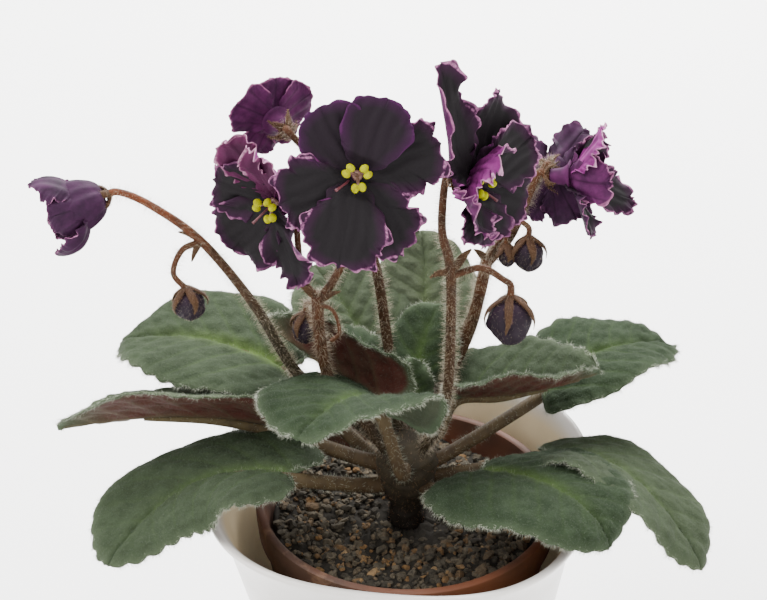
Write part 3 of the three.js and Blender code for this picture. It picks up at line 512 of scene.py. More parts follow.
def stem(name, path, radii, sides=12, across=None, ratio=1.0, tone=(0, 0)):
    """A closed tapering stem along a path. With `across` it is a flat blade, wide that way."""
    path = np.asarray(path, float)
    heading = unit(np.gradient(path, axis=0))
    side = (0.31, 0.95, 0.11) if across is None else across
    place = np.linspace(0, len(radii) - 1, len(path))
    radius = np.interp(place, np.arange(len(radii)), radii)
    angle = np.linspace(0, 2 * math.pi, sides, endpoint=False)
    rings = []
    for centre, forward, wide in zip(path, heading, radius):
        side = unit(side - forward * (side @ forward))
        other = np.cross(forward, side)
        rings.append(centre + np.outer(np.cos(angle), side) * wide * ratio
                     + np.outer(np.sin(angle), other) * wide)
    points = np.vstack([*rings, path[:1], path[-1:]])
    faces = []
    last = (len(path) - 1) * sides
    for i in range(sides):
        j = (i + 1) % sides
        faces.append((len(points) - 2, j, i))
        faces.append((last + i, last + j, len(points) - 1))
        for ring in range(0, last, sides):
            faces.append((ring + i, ring + j, ring + sides + j, ring + sides + i))
    tones = np.repeat(np.linspace(*tone, len(path)), sides)
    return from_points(name, points, faces, tone=[*tones, *tone])


def scatter(piece, count, upper=None):
    """Random places on a piece's faces and the way they face. `upper` keeps to one finish."""
    mesh = piece.data
    mesh.calc_loop_triangles()
    corners = np.empty(len(mesh.loop_triangles) * 3, int)
    mesh.loop_triangles.foreach_get("vertices", corners)
    triangles = points_of(piece)[corners.reshape(-1, 3)]
    cross = np.cross(triangles[:, 1] - triangles[:, 0], triangles[:, 2] - triangles[:, 0])
    area = np.linalg.norm(cross, axis=1)
    if upper is not None:
        kind = np.empty(len(mesh.loop_triangles), int)
        mesh.loop_triangles.foreach_get("material_index", kind)
        area = area * (kind == upper)
    picked = random.choice(len(area), count, p=area / area.sum())
    a, b = random.random((2, count, 1))
    a, b = np.where(a + b > 1, 1 - a, a), np.where(a + b > 1, 1 - b, b)
    t = triangles[picked]
    return t[:, 0] + a * (t[:, 1] - t[:, 0]) + b * (t[:, 2] - t[:, 0]), unit(cross[picked])


def hairs(name, roots, ways, lengths, radius):
    """Fine tapering hairs, each a thin closed spike."""
    count = len(roots)
    ways = unit(ways)
    side = unit(np.cross(ways, random.normal(size=(count, 3))))
    other = np.cross(ways, side)
    corners = []
    for i in range(3):
        turn = i * 2 * math.pi / 3
        corners.append(roots + radius * (math.cos(turn) * side + math.sin(turn) * other))
    tips = roots + ways * np.asarray(lengths)[:, None]
    points = np.stack([*corners, tips], 1).reshape(-1, 3)
    base = np.arange(count)[:, None] * 4
    faces = np.vstack([base + (0, 1, 3), base + (1, 2, 3), base + (2, 0, 3), base + (0, 2, 1)])
    return from_points(name, points, faces)


def coat(name, piece, kind, size=1, upper=None):
    """Hairs of one kind that stand on a piece of this size."""
    count, length, radius, stray = HAIRS[kind]
    count = int(count * size)
    roots, ways = scatter(piece, count, upper)
    ways = unit(ways + stray * random.normal(size=ways.shape))
    return hairs(name, roots, ways, length * random.uniform(0.6, 1.3, count), radius)


def sheet_of(name, rows, columns):
    """A flat grid, and for each of its points how far it is along the margin and to the side."""
    piece = added(name, bpy.ops.mesh.primitive_grid_add, x_subdivisions=rows,
                  y_subdivisions=2 * columns, size=2)
    grid = points_of(piece) * MM
    return piece, (grid[:, 0] + 1) / 2, grid[:, 1]


def flat_place(outline, length, width, run, column, swell):
    """Where each point of a blade lies when it is pressed flat, and how far in from the margin."""
    line = smooth_path(np.array(outline) * (length, width / 2), 40, still=True)
    gone = gone_along(line)
    share = gone / gone[-1]
    edge = np.abs(column)
    ahead = unit(on_line(np.minimum(run + 0.01, 1), share, line)
                 - on_line(np.maximum(run - 0.01, 0), share, line))
    margin = on_line(run, share, line) + ahead[:, ::-1] * (-1, 1) * swell[:, None]
    rib = length * run**1.7
    along = rib + (margin[:, 0] - rib) * edge
    aside = column * np.maximum(margin[:, 1], 0.3)
    here = np.stack([along, np.abs(aside)], 1)
    inward = np.sqrt(((here[:, None] - line[None, ::4]) ** 2).sum(-1)).min(1)
    inward = np.minimum(inward, np.hypot(margin[:, 0] - along, margin[:, 1] - np.abs(aside)))
    return along, aside, inward


def thicken(piece, body, inward, face, back):
    """Gives a blade its finishes and its thickness, which thins to a share near the margin."""
    thickness, thin, reach = body
    piece.data.materials.append(face)
    piece.data.materials.append(back)
    group = piece.vertex_groups.new(name="body")
    share = np.round(held(inward / reach) * 8).astype(int)
    for level in range(9):
        found = np.flatnonzero(share == level).tolist()
        if found:
            group.add(found, level / 8, "REPLACE")
    solid = piece.modifiers.new("thickness", "SOLIDIFY")
    solid.thickness = thickness * MM
    solid.offset = 0
    solid.vertex_group = "body"
    solid.thickness_vertex_group = thin
    solid.material_offset = 1
    apply(piece, solid)
    piece.data.shade_smooth()


# ---- finishes -----------------------------------------------------------------------------

def deeper(colour, share):
    return tuple(share * part for part in colour)


def white_glaze():
    """Clean outside, and a beige of painted shade and painted reflection from the brown pot where
    the mark says that it is the inside.
    """
    finish = Finish("white_glaze")
    shaded_inside = finish.mark("inside")
    clean = finish.mix((0.62, 0.60, 0.575), (0.52, 0.49, 0.46),
                       finish.fade(finish.noise(18, 4, 0.6), 0.4, 0.7))
    # The inside's beige is painted shade, warmed by a painted reflection of the brown pot.
    painted_inside_shade = finish.mix((0.74, 0.62, 0.41), (0.58, 0.47, 0.29),
                         finish.fade(finish.noise(30, 5), 0.35, 0.7))
    relief = finish.noise(240, 2) * 0.4 + finish.noise(40, 3)
    return finish.surface(finish.mix(clean, painted_inside_shade, shaded_inside), 0.28 + shaded_inside * 0.3, 0.5, relief,
                          0.06, 0.001)


def brown_clay():
    """Terracotta with damp patches and dust."""
    finish = Finish("brown_clay")
    spots = finish.noise(60, 6, 0.65)
    colour = finish.painted(
        (0.13, 0.040, 0.015),
        ((0.045, 0.019, 0.010), finish.fade(finish.noise(22, 3), 0.38, 0.62)),
        ((0.33, 0.20, 0.12), finish.fade(spots, 0.56, 0.74, 0.0, 0.6)))
    return finish.surface(colour, 0.62 + spots * 0.2, 0.5, finish.noise(420, 4), 0.25)


def crumbs_of_mix():
    """Dark mix. Each crumb has a tone, from black peat to pale bark."""
    finish = Finish("potting_crumbs")
    grain = finish.noise(900, 4, 0.7)
    tones = finish.ramp(finish.mark("tone"), [
        (0.0, (0.020, 0.017, 0.013)), (0.15, (0.056, 0.048, 0.035)),
        (0.55, (0.090, 0.074, 0.051)), (0.8, (0.10, 0.066, 0.037)),
        (0.92, (0.14, 0.078, 0.032)), (1.0, (0.22, 0.145, 0.075))])
    colour = finish.mix(tones, (0.012, 0.011, 0.010), finish.fade(grain, 0.35, 0.6, 0.55, 0.0))
    return finish.surface(colour, 0.93, 0.15, grain, 0.7)


def leaf_velvet():
    """Dark green with paler veins and margin, a lime heart, and pale flecks that are painted glints
    on the nap.
    """
    finish = Finish("leaf_velvet")
    mottle = finish.noise(170, 4, 0.6)
    cloth = finish.noise(1500, 2, 0.7)
    margin = finish.ramp(finish.mark("inward"), [(0.0, 0.75), (0.12, 0.25), (0.3, 0.0)])
    colour = finish.painted(
        (0.0095, 0.017, 0.0068),
        ((0.018, 0.029, 0.0135), finish.fade(mottle, 0.35, 0.68)),
        # Pale flecks: painted glints of light on the nap's hairs.
        ((0.038, 0.051, 0.032), finish.fade(cloth, 0.52, 0.72, 0.0, 0.55)),
        ((0.038, 0.068, 0.016), finish.mark("vein") * (1.1 - finish.mark("along")) * 0.6),
        ((0.075, 0.125, 0.022), finish.mark("heart")),
        ((0.052, 0.07, 0.04), margin),
        ((0.085, 0.098, 0.062), finish.mark("pale")))
    cells = finish.node("TexVoronoi", {"feature": "SMOOTH_F1"},
                        {"Vector": finish.place, "Scale": 330}, "Distance")
    relief = cloth * 0.5 + cells * 0.8 + mottle * 0.4
    return finish.surface(colour, 0.82 + cloth * 0.15, 0.12, relief, 0.55, 0.0009)


def leaf_back_skin(name, low, high, fluff):
    """A leaf's underside, greener toward the tip and along the turned margin."""
    finish = Finish(name)
    mottle = finish.noise(150, 4, 0.6)
    cloth = finish.noise(1300, 2, 0.7)
    margin = finish.fade(finish.mark("inward") + (mottle - 0.5) * 0.1, 0.1, 0.24, 0.9, 0.0)
    colour = finish.painted(
        low, (high, finish.fade(mottle, 0.4, 0.7)),
        (fluff, finish.fade(cloth, 0.55, 0.75, 0.0, 0.5)),
        ((0.034, 0.046, 0.024), finish.fade(finish.mark("along"), 0.72, 0.93, 0.0, 0.85)),
        ((0.055, 0.045, 0.023), finish.mark("vein") * 0.7),
        ((0.042, 0.060, 0.032), margin))
    return finish.surface(colour, 0.78, 0.2, cloth * 0.5 + mottle, 0.5, 0.0009)


def stem_skin(name, low, high):
    """A soft stem that goes from one colour at its foot to another at its end."""
    finish = Finish(name)
    streak = finish.noise(260, 5, 0.65)
    colour = finish.painted(
        low, (high, finish.mark("tone")),
        (deeper(low, 0.45), finish.fade(streak, 0.34, 0.55, 0.6, 0.0)),
        ((0.075, 0.058, 0.032), finish.fade(streak, 0.6, 0.78, 0.0, 0.45)))
    return finish.surface(colour, 0.6 + streak * 0.2, 0.2, streak, 0.5, 0.0005)


def ragged_margin(finish):
    """How far in a point lies from a petal's margin, made uneven."""
    return finish.mark("inward") + (finish.noise(500, 3) - 0.5) * 0.07


def petal_velvet(name, dark, purple, lace):
    """The face of a petal: near black in the middle, purple outward as painted light shining through
    its thin edge, with a pale frilled rim.
    """
    finish = Finish(name)
    fleck = finish.noise(240, 4, 0.65)
    inward = ragged_margin(finish)
    rim = finish.ramp(inward, [(0.0, 0.9), (0.022, 0.6), (0.042, 0.0)])
    worn = finish.fade(finish.noise(130, 3), 0.34, 0.54, 0.25, 1.0)
    beads = finish.fade(finish.noise(1100, 2, 0.7), 0.38, 0.6, 0.25, 1.0)
    # The purple toward the margin is painted light shining through the thin petal edge.
    colour = finish.painted(
        dark, (purple, finish.ramp(inward, [(0.0, 0.9), (0.07, 0.42), (0.3, 0.0)])),
        (deeper(dark, 0.6), finish.mark("vein") * 0.5), (lace, rim * worn * beads))
    relief = fleck + finish.noise(1400, 2) * 0.35
    return finish.surface(colour, 0.66 + fleck * 0.12, 0.12, relief)


def petal_outside(name, deep, pale, lace):
    """The back of a petal: an even purple with darker veins and a pale rim."""
    finish = Finish(name)
    fleck = finish.noise(200, 4, 0.6)
    colour = finish.painted(
        pale, (deep, finish.fade(fleck, 0.35, 0.7)),
        (deeper(deep, 0.55), finish.mark("vein") * 0.6),
        (lace, finish.fade(ragged_margin(finish), 0.0, 0.045, 1.0, 0.0)))
    return finish.surface(colour, 0.65, 0.1, fleck)


def plain(name, colour, shade, roughness, grain=300.0, shine=0.5):
    """One colour, spotted with a darker shade of it."""
    finish = Finish(name)
    spots = finish.noise(grain, 4, 0.6)
    colour = finish.mix(colour, shade, finish.fade(spots, 0.4, 0.65))
    return finish.surface(colour, roughness, shine, spots, 0.3, 0.0004)


GLAZE = white_glaze()
CLAY = brown_clay()
CRUMBS = crumbs_of_mix()
VELVET = leaf_velvet()
UNDERSIDE = leaf_back_skin(
    "leaf_underside", (0.042, 0.0108, 0.0072), (0.042, 0.021, 0.013), (0.062, 0.040, 0.026))
GREEN_UNDERSIDE = leaf_back_skin(
    "leaf_green_underside", (0.020, 0.026, 0.013), (0.030, 0.036, 0.020), (0.046, 0.055, 0.036))
PETIOLE = stem_skin("petiole_skin", (0.042, 0.024, 0.012), (0.075, 0.058, 0.026))
STALK = stem_skin("stalk_skin", (0.018, 0.0130, 0.0048), (0.100, 0.026, 0.008))
# The crown's brown skin darkens to near black toward its foot: painted shade under the leaves.
CROWN_SHADED_SKIN = stem_skin("crown_shaded_skin", (0.011, 0.008, 0.0055), (0.034, 0.026, 0.014))
SEPAL_SKIN = stem_skin("sepal_skin", (0.036, 0.013, 0.0045), (0.046, 0.024, 0.009))
PETAL_FACE = petal_velvet(
    "petal_face", (0.0068, 0.0054, 0.0066), (0.034, 0.0032, 0.030), (0.40, 0.16, 0.30))
PETAL_PLUM = petal_velvet(
    "petal_plum_face", (0.0082, 0.0048, 0.0080), (0.034, 0.0034, 0.034), (0.050, 0.009, 0.048))
PETAL_ROSE_FACE = petal_velvet(
    "petal_rosy_face", (0.040, 0.0060, 0.026), (0.115, 0.020, 0.070), (0.46, 0.24, 0.34))
PETAL_BACK = petal_outside(
    "petal_back", (0.025, 0.0048, 0.024), (0.074, 0.0125, 0.060), (0.26, 0.09, 0.18))
PETAL_DUSK = petal_outside(
    "petal_dusky_back", (0.0135, 0.0050, 0.0145), (0.036, 0.0098, 0.034), (0.06, 0.018, 0.05))
PETAL_ROSE = petal_outside(
    "petal_rosy_back", (0.070, 0.0060, 0.058), (0.18, 0.024, 0.14), (0.46, 0.24, 0.36))
BUD_SKIN = petal_velvet(
    "bud_skin", (0.0125, 0.0080, 0.0125), (0.030, 0.0085, 0.026), (0.035, 0.009, 0.03))
POLLEN = plain("pollen_yellow", (0.27, 0.275, 0.0008), (0.19, 0.18, 0.0008), 0.8, 900.0, 0.05)
FILAMENT = plain("filament", (0.16, 0.085, 0.055), (0.09, 0.035, 0.035), 0.5)
STYLE_RED = plain("style_red", (0.095, 0.016, 0.022), (0.055, 0.010, 0.018), 0.45)
WHITE_HAIR = plain("white_hair", (0.37, 0.39, 0.31), (0.27, 0.29, 0.22), 0.5)
NAP = plain("leaf_nap", (0.060, 0.080, 0.052), (0.042, 0.056, 0.036), 0.8)
SEPAL_HAIR = plain("sepal_hair", (0.32, 0.18, 0.09), (0.20, 0.10, 0.045), 0.5)
STEM_HAIR = plain("stem_hair", (0.46, 0.40, 0.30), (0.32, 0.25, 0.16), 0.5)


# ---- pots, mix and crown ------------------------------------------------------------------

def wall_radius(height, inset):
    """The white pot's radius without its lobes."""
    rise = height / POT_HEIGHT
    flare = LIP_FLARE * max(0, (rise - 0.86) / 0.14) ** 2
    straight = POT_FOOT_RADIUS + (POT_LIP_RADIUS - LIP_FLARE - POT_FOOT_RADIUS) * rise
    return straight + flare - inset


def white_pot():
    outside = [(0, 2.6), (0.25, 1.2), (0.9, 0.35), (2, 0), *((z, 0) for z in range(5, 90, 4)),
               (92, 0), (94.4, -0.15), (95.8, -0.25), (96.5, 0.05), (96.9, 0.55)]
    inside = [(97, 1.1), (96.9, 1.7), (96.5, 2.15), (95.6, 2.45), (94, 2.5), (91, 2.3),
              *((z, POT_WALL) for z in range(88, 5, -6)), (4.2, 2.7), (3.2, 4.2), (POT_FLOOR, 8)]
    profile = [(wall_radius(z, inset), z) for z, inset in outside + inside]
    piece = turned("white_pot", profile, 144)
    points = points_of(piece)
    x, y, z = points.T
    wide = np.hypot(x, y)
    middle = np.array([wall_radius(height, 1.4) for height in z])
    within = (wide < middle) & (z > 2.6)
    set_marks(piece, inside=within * held((96 - z) / 5))
    turn = np.arctan2(y, x) - POT_LOBE_TURN
    lobe = (z / POT_HEIGHT) ** 2 * (POT_LOBE * np.cos(4 * turn) - POT_LEAN * np.cos(turn))
    lobe *= held(wide / np.maximum(middle, 1))
    grown = 1 + lobe / np.maximum(wide, 1)
    set_points(piece, np.stack([x * grown, y * grown, z], 1))
    shown(piece, "outer_pot", "white_pot", GLAZE)


def grow_wall(height):
    """The brown pot's radius outside, below its collar."""
    rise = (height - GROW_BOTTOM) / (GROW_HEIGHT - GROW_COLLAR - GROW_BOTTOM)
    return GROW_BASE_RADIUS + (GROW_RIM_RADIUS - 2 - GROW_BASE_RADIUS) * rise


def brown_pot():
    collar = GROW_HEIGHT - GROW_COLLAR
    floor = GROW_BOTTOM + GROW_WALL
    rim = GROW_RIM_RADIUS
    profile = [(GROW_BASE_RADIUS - 0.8, GROW_BOTTOM), (GROW_BASE_RADIUS, GROW_BOTTOM + 0.8)]
    profile += [(grow_wall(z), z) for z in range(8, 76, 8)]
    profile += [(grow_wall(collar) - 0.1, collar - 0.4), (grow_wall(collar) + 0.3, collar),
                (rim - 1.0, collar + 0.5), (rim - 0.6, collar + 1.2), (rim - 0.2, collar + 6),
                (rim, GROW_HEIGHT - 1), (rim - 0.15, GROW_HEIGHT - 0.3), (rim - 0.6, GROW_HEIGHT),
                (rim - 2.0, GROW_HEIGHT), (rim - 2.5, GROW_HEIGHT - 0.4),
                (rim - 2.7, GROW_HEIGHT - 1.4), (rim - 2.9, GROW_HEIGHT - 5),
                (grow_wall(collar) - GROW_WALL, collar)]
    profile += [(grow_wall(z) - GROW_WALL, z) for z in range(72, 8, -8)]
    profile += [(grow_wall(floor) - GROW_WALL - 0.2, floor + 0.3),
                (grow_wall(floor) - GROW_WALL - 1, floor)]
    piece = turned("brown_pot", profile, 120)
    for i in range(DRAINS):
        turn = i / DRAINS * 2 * math.pi
        place = np.array([DRAIN_RING * math.cos(turn), DRAIN_RING * math.sin(turn),
                          GROW_BOTTOM + 1])
        hole = added("drain", bpy.ops.mesh.primitive_cylinder_add, vertices=32,
                     radius=DRAIN_RADIUS * MM, depth=3 * GROW_WALL * MM, location=place * MM)
        cut = piece.modifiers.new("drain", "BOOLEAN")
        cut.object = hole
        cut.solver = "EXACT"
        apply(piece, cut)
        bpy.data.objects.remove(hole)
    crease(piece, 40)
    shown(piece, "grow_pot", "brown_pot", CLAY)


def mounds(x, y):
    """The low mounds of the mix, the same as the solid's."""
    wide = np.sin(0.31 * x + 1.3) * np.cos(0.27 * y - 0.6)
    small = np.sin(0.83 * x + 0.7 * y) * np.cos(0.91 * y - 0.4 * x)
    return 1.1 * (wide + 0.5 * small)


def potting_mix():
    """The body of the mix, with a hole for the crown's foot."""
    floor = GROW_BOTTOM + GROW_WALL + GAP
    edge = grow_wall(GROW_HEIGHT - GROW_COLLAR) - GROW_WALL - GAP - 0.65
    profile = [(grow_wall(floor) - GROW_WALL - GAP - 0.35, floor), (edge, 76), (edge, 78.3)]
    profile += [(radius, MIX_TOP) for radius in np.linspace(edge - 1, 6, 26)]
    profile += [(6, CROWN_PROFILE[0][1] - GAP)]
    piece = turned("mix_body", profile, 120)
    points = points_of(piece)
    x, y, z = points.T
    top = (z > 78) & (np.hypot(x, y) > 5)
    rough = (0.35 * np.sin(2.9 * x + 1.1 * y) * np.sin(2.3 * y - 1.7 * x)
             + 0.25 * random.normal(size=len(x)))
    points[:, 2] = z + top * (mounds(x, y) + rough * (z > 79))
    set_points(piece, points)
    set_marks(piece, tone=0)
    shown(piece, "potting_mix", "mix", CRUMBS)
    loose_crumbs(edge)


def loose_crumbs(edge):
    """The crumbs that lie on the mix, out to its edge."""
    count = CRUMB_COUNT
    lump = added("lump", bpy.ops.mesh.primitive_ico_sphere_add, subdivisions=2, radius=1)
    ball = points_of(lump) * MM
    faces = np.array([list(face.vertices) for face in lump.data.polygons])
    bpy.data.objects.remove(lump)
    ring = edge - CRUMBS_SHORT_OF_EDGE - CRUMBS_FROM
    reach = CRUMBS_FROM + ring * np.sqrt(random.random(count))
    turn = random.random(count) * 2 * math.pi
    size = np.minimum(random.gamma(4, 0.165, count) + 0.22, LARGEST_CRUMB)
    aspect = random.uniform(0.55, 1.5, (count, 3)) * size[:, None]
    aspect[:, 2] = np.minimum(aspect[:, 2], 1.3)
    x, y = reach * np.cos(turn), reach * np.sin(turn)
    place = np.stack([x, y, MIX_TOP + mounds(x, y) + 0.25 * aspect[:, 2]], 1)
    lumps = []
    for i in range(count):
        knobbly = ball * (1 + 0.16 * random.normal(size=(len(ball), 1)))
        spin = np.linalg.qr(random.normal(size=(3, 3)))[0]
        if np.linalg.det(spin) < 0:
            spin[:, 0] *= -1
        lumps.append((knobbly * aspect[i]) @ spin.T * (1, 1, 0.75) + place[i])
    corner = (np.arange(count) * len(ball))[:, None, None] + faces
    tone = np.repeat(0.04 + 0.96 * random.random(count) ** 1.5, len(ball))
    crumbs = from_points("mix_crumbs", np.vstack(lumps), corner.reshape(-1, 3), tone=tone)
    crease(crumbs, 30)
    shown(crumbs, "potting_mix", "mix", CRUMBS)


def crown():
    wide, high = zip(*CROWN_PROFILE)
    profile = [(np.interp(z, high, wide), z) for z in np.linspace(high[0], high[-1], 40)]
    profile += [(3.6, high[-1] + 0.5), (1.8, high[-1] + 0.7)]
    piece = turned("crown_stem", profile, 48)
    points = points_of(piece)
    x, y, z = points.T
    turn, out = np.arctan2(y, x), np.hypot(x, y)
    rings = 0.28 * np.sin(1.9 * z + 2 * np.sin(3 * turn)) + 0.2 * np.sin(5 * turn + 0.9 * z)
    grown = 1 + rings * held(out / 3) * (z > 69) / np.maximum(out, 1)
    set_points(piece, np.stack([x * grown, y * grown, z], 1))
    # The tone is 0 below 84 mm and 1 at the top, so the low crown takes the painted shade.
    set_marks(piece, tone=held((z - 84) / 24))
    shown(piece, "crown", "crown", CROWN_SHADED_SKIN)
    shown(coat("crown_hairs", piece, "crown"), "crown", "crown", SEPAL_HAIR)


# ---- leaves -------------------------------------------------------------------------------

# How bright the midrib's glow is, how much paler a leaf is, and which undersides are green.
HEARTS = {"leaf_left_back": 0.7, "leaf_front_right": 0.5, "leaf_front": 0.35,
          "leaf_right_far": 0.3, "leaf_back": 0.5}
PALENESS = {"leaf_back": 0.42, "leaf_right_low": 0.18, "leaf_left": 0.3, "leaf_right": 0.12,
            "leaf_front_left": 0.12, "leaf_left_back": 0.1, "leaf_back_left": 0.25}
GREEN_BACKS = ("leaf_front", "leaf_back", "leaf_heart", "leaf_heart_back")


def midrib_of(base, middle, tip):
    """A leaf's midrib: its length, and a function for its place, left and up."""
    base, middle, tip = (np.array(point, float) for point in (base, middle, tip))
    control = 2 * middle - (base + tip) / 2
    t = np.linspace(0, 1, 600)[:, None]
    line = (1 - t) ** 2 * base + 2 * t * (1 - t) * control + t**2 * tip
    heading = unit((1 - t) * (control - base) + t * (tip - control))
    gone = gone_along(line)
    length = gone[-1]

    def at(along):
        inside = np.clip(along, 0, length)
        forward = unit(on_line(inside, gone, heading))
        centre = on_line(inside, gone, line) + forward * np.asarray(along - inside)[..., None]
        left = unit(np.cross((0, 0, 1), forward))
        return centre, left, np.cross(forward, left)

    return length, at


def leaf(name, root, base, middle, tip, width, fold, curl, radius, late=1):
    length, at = midrib_of(base, middle, tip)
    small = length < YOUNG_LEAF
    half = width / 2
    rows, columns = (44, 14) if small else (108, 26)
    piece, run, column = sheet_of(name + "_blade", rows, columns)
    edge = np.abs(column)
    teeth = max(7, round(length / TOOTH_LENGTH))
    phase = random.uniform(0, 6)
    beat = math.pi * teeth * run + 0.7 * np.sin(9 * run + phase) * column
    depth = (0.45 if small else 0.85) * (1 + 0.45 * np.sin(5.3 * run + 2 * phase + column))
    swell = depth * (np.abs(np.sin(beat)) ** 0.8 - 0.6)
    swell = swell * held(run / 0.06) * np.clip((1 - run) / 0.03, 0.3, 1)
    along, aside, inward = flat_place(LEAF_OUTLINE, length, width, run, column, swell)

    away, left_hand = np.abs(aside), aside > 0
    fold = np.radians(np.where(left_hand, *fold))[:, None]
    curl = np.radians(np.where(left_hand, *curl))[:, None]
    out, lift = arc(fold, curl, late, away / half, half)
    slope = fold[:, 0] + curl[:, 0] * (away / half) ** late

    # The side veins, and the quilted skin that swells between them.
    spacing = length / (4.5 if small else 6.6)
    swept = along - 0.62 * away - 0.010 * away**2 + 0.5 * np.sin(away * 0.35 + phase)
    between = swept / spacing - (0.5 * left_hand if not small else 0)
    nearest = np.abs(between - np.round(between)) * spacing
    rib = np.exp(-((away / (1.5 - 0.9 * held(along / length))) ** 2))
    side_rib = np.exp(-((nearest / 0.62) ** 2)) * held(1.1 - edge**4)
    side_rib *= (swept > -2) & (away > 0.5)
    vein = held(rib + 0.55 * side_rib)
    body = held(inward / 3.5)
    quilt = 0.75 * np.sqrt(held(nearest / (spacing / 2))) * held(away / 3)
    cross = 0.22 * np.sin(1.35 * away + 2.2 * np.round(between)) * held(nearest / 2)
    wave = 1.1 * edge**3 * np.sin(run * 17 * np.sign(column) + phase)
    ripple = 0.3 * np.exp(-inward / 1.3) * np.sin(2 * beat + phase)
    roll = -0.6 * np.exp(-inward / 1.2)
    relief = (body * (quilt + cross) - 0.5 * rib - 0.25) * (0.5 if small else 1)
    relief += wave + ripple + roll

    centre, left, up = at(along)
    outward = np.sign(aside)[:, None] * left
    normal = up * np.cos(slope)[:, None] - outward * np.sin(slope)[:, None]
    points = centre + outward * out[:, None] + up * lift[:, None] + normal * relief[:, None]
    set_points(piece, points)
    glow = np.exp(-((away / 2.8) ** 2)) * held(1 - along / length) ** 1.4
    set_marks(piece, vein=vein, inward=inward / 10, along=held(along / length),
              heart=glow * HEARTS.get(name, 0.2), pale=PALENESS.get(name, 0))
    backs = GREEN_UNDERSIDE if name in GREEN_BACKS else UNDERSIDE
    thicken(piece, LEAF_BODY, inward, VELVET, backs)
    shown(piece, name, "leaf")

    turn, height = math.radians(root[0]), root[1]
    away_from = np.array([math.cos(turn), math.sin(turn), 0])
    root = np.array([0, 0, height])

    def under(part, thick):
        centre, _, up = at(np.array(part * length))
        return centre - up * (0.7 * thick + 0.7)

    route = smooth_path([root + 3 * away_from, root + 12 * away_from, under(0, radius),
                         under(0.3, 0.7 * radius), under(0.62, 0.5)], 14)
    petiole = stem(name + "_petiole", route, [radius * part for part in PETIOLE_TAPER], 16,
                   tone=(0, 1))
    shown(petiole, name, "leaf", PETIOLE)

    area = length * half / 1000
    nap = [coat(name + "_nap", piece, "leaf face", area, 0),
           coat(name + "_under_nap", piece, "leaf back", area, 1)]
    shown(joined(name + "_nap", nap), name, "leaf", NAP)
    grid = points[np.lexsort((column, run))].reshape(-1, 2 * columns + 1, 3)
    fuzz = [coat(name + "_petiole_hairs", petiole, "young petiole" if small else "petiole"),
            fringe(name + "_fringe", grid, YOUNG_FRINGE if small else FRINGE)]
    shown(joined(name + "_hairs", fuzz), name, "leaf", WHITE_HAIR)


def fringe(name, grid, count):
    """The long hairs on a leaf's two margins. The grid has a row of points for each step along."""
    rim = np.vstack([grid[:, 0], grid[:, -1]])
    outward = unit(rim - np.vstack([grid[:, 2], grid[:, -3]]))
    picked = random.integers(0, len(rim) - 1, count)
    jitter = random.normal(size=(count, 3))
    roots = rim[picked] - 0.2 * outward[picked] + 0.25 * jitter
    return hairs(name, roots, outward[picked] + 0.4 * jitter, random.uniform(0.6, 1.7, count),
                 FRINGE_RADIUS)


# ---- blooms -------------------------------------------------------------------------------

# What sets some petals apart: the finish of the back of a bloom's petals; the petals with little
# lace; the faces and backs with another finish; a furled petal's cup in degrees, its length and
# how far it narrows; how far one is lifted; how far one leans in degrees and swings sideways
# toward its tip; how much smaller a bloom's petals are; and how deep they are notched.
DUSKY = {"bud_half_open": PETAL_DUSK, "bloom_right_far": PETAL_DUSK}
PLAIN_RIMS = {"bloom_centre": (1, 2), "bloom_back_left": (0, 1, 2, 3, 4)}
OTHER_FACES = {("bloom_left", 0): PETAL_ROSE_FACE, ("bloom_left", 1): PETAL_ROSE_FACE}
OTHER_BACKS = {("bloom_right", 4): PETAL_ROSE, ("bloom_left", 0): PETAL_ROSE,
               ("bloom_left", 1): PETAL_ROSE, ("bloom_right_back", 1): PETAL_ROSE,
               ("bloom_right_back", 3): PETAL_DUSK, ("bloom_right_back", 4): PETAL_DUSK}
FURLS = {("bloom_right", 3): (38, 35.5, 0.55), ("bloom_right", 4): (20, 13.6, 0),
         ("bud_half_open", 3): (62, 15.0, 0.1), ("bud_half_open", 4): (58, 16.5, 0.15)}
LIFTED = {("bloom_centre", 1): 2.7, ("bloom_centre", 2): 0.6, ("bloom_centre", 4): 0.6}
SWUNG = {("bloom_right", 3): (13, -15)}
SHRUNK = {"bloom_back_left": 0.88}
NOTCHED = {"bloom_centre": 1.7, "bloom_right": 1.2, "bud_half_open": 0.6}


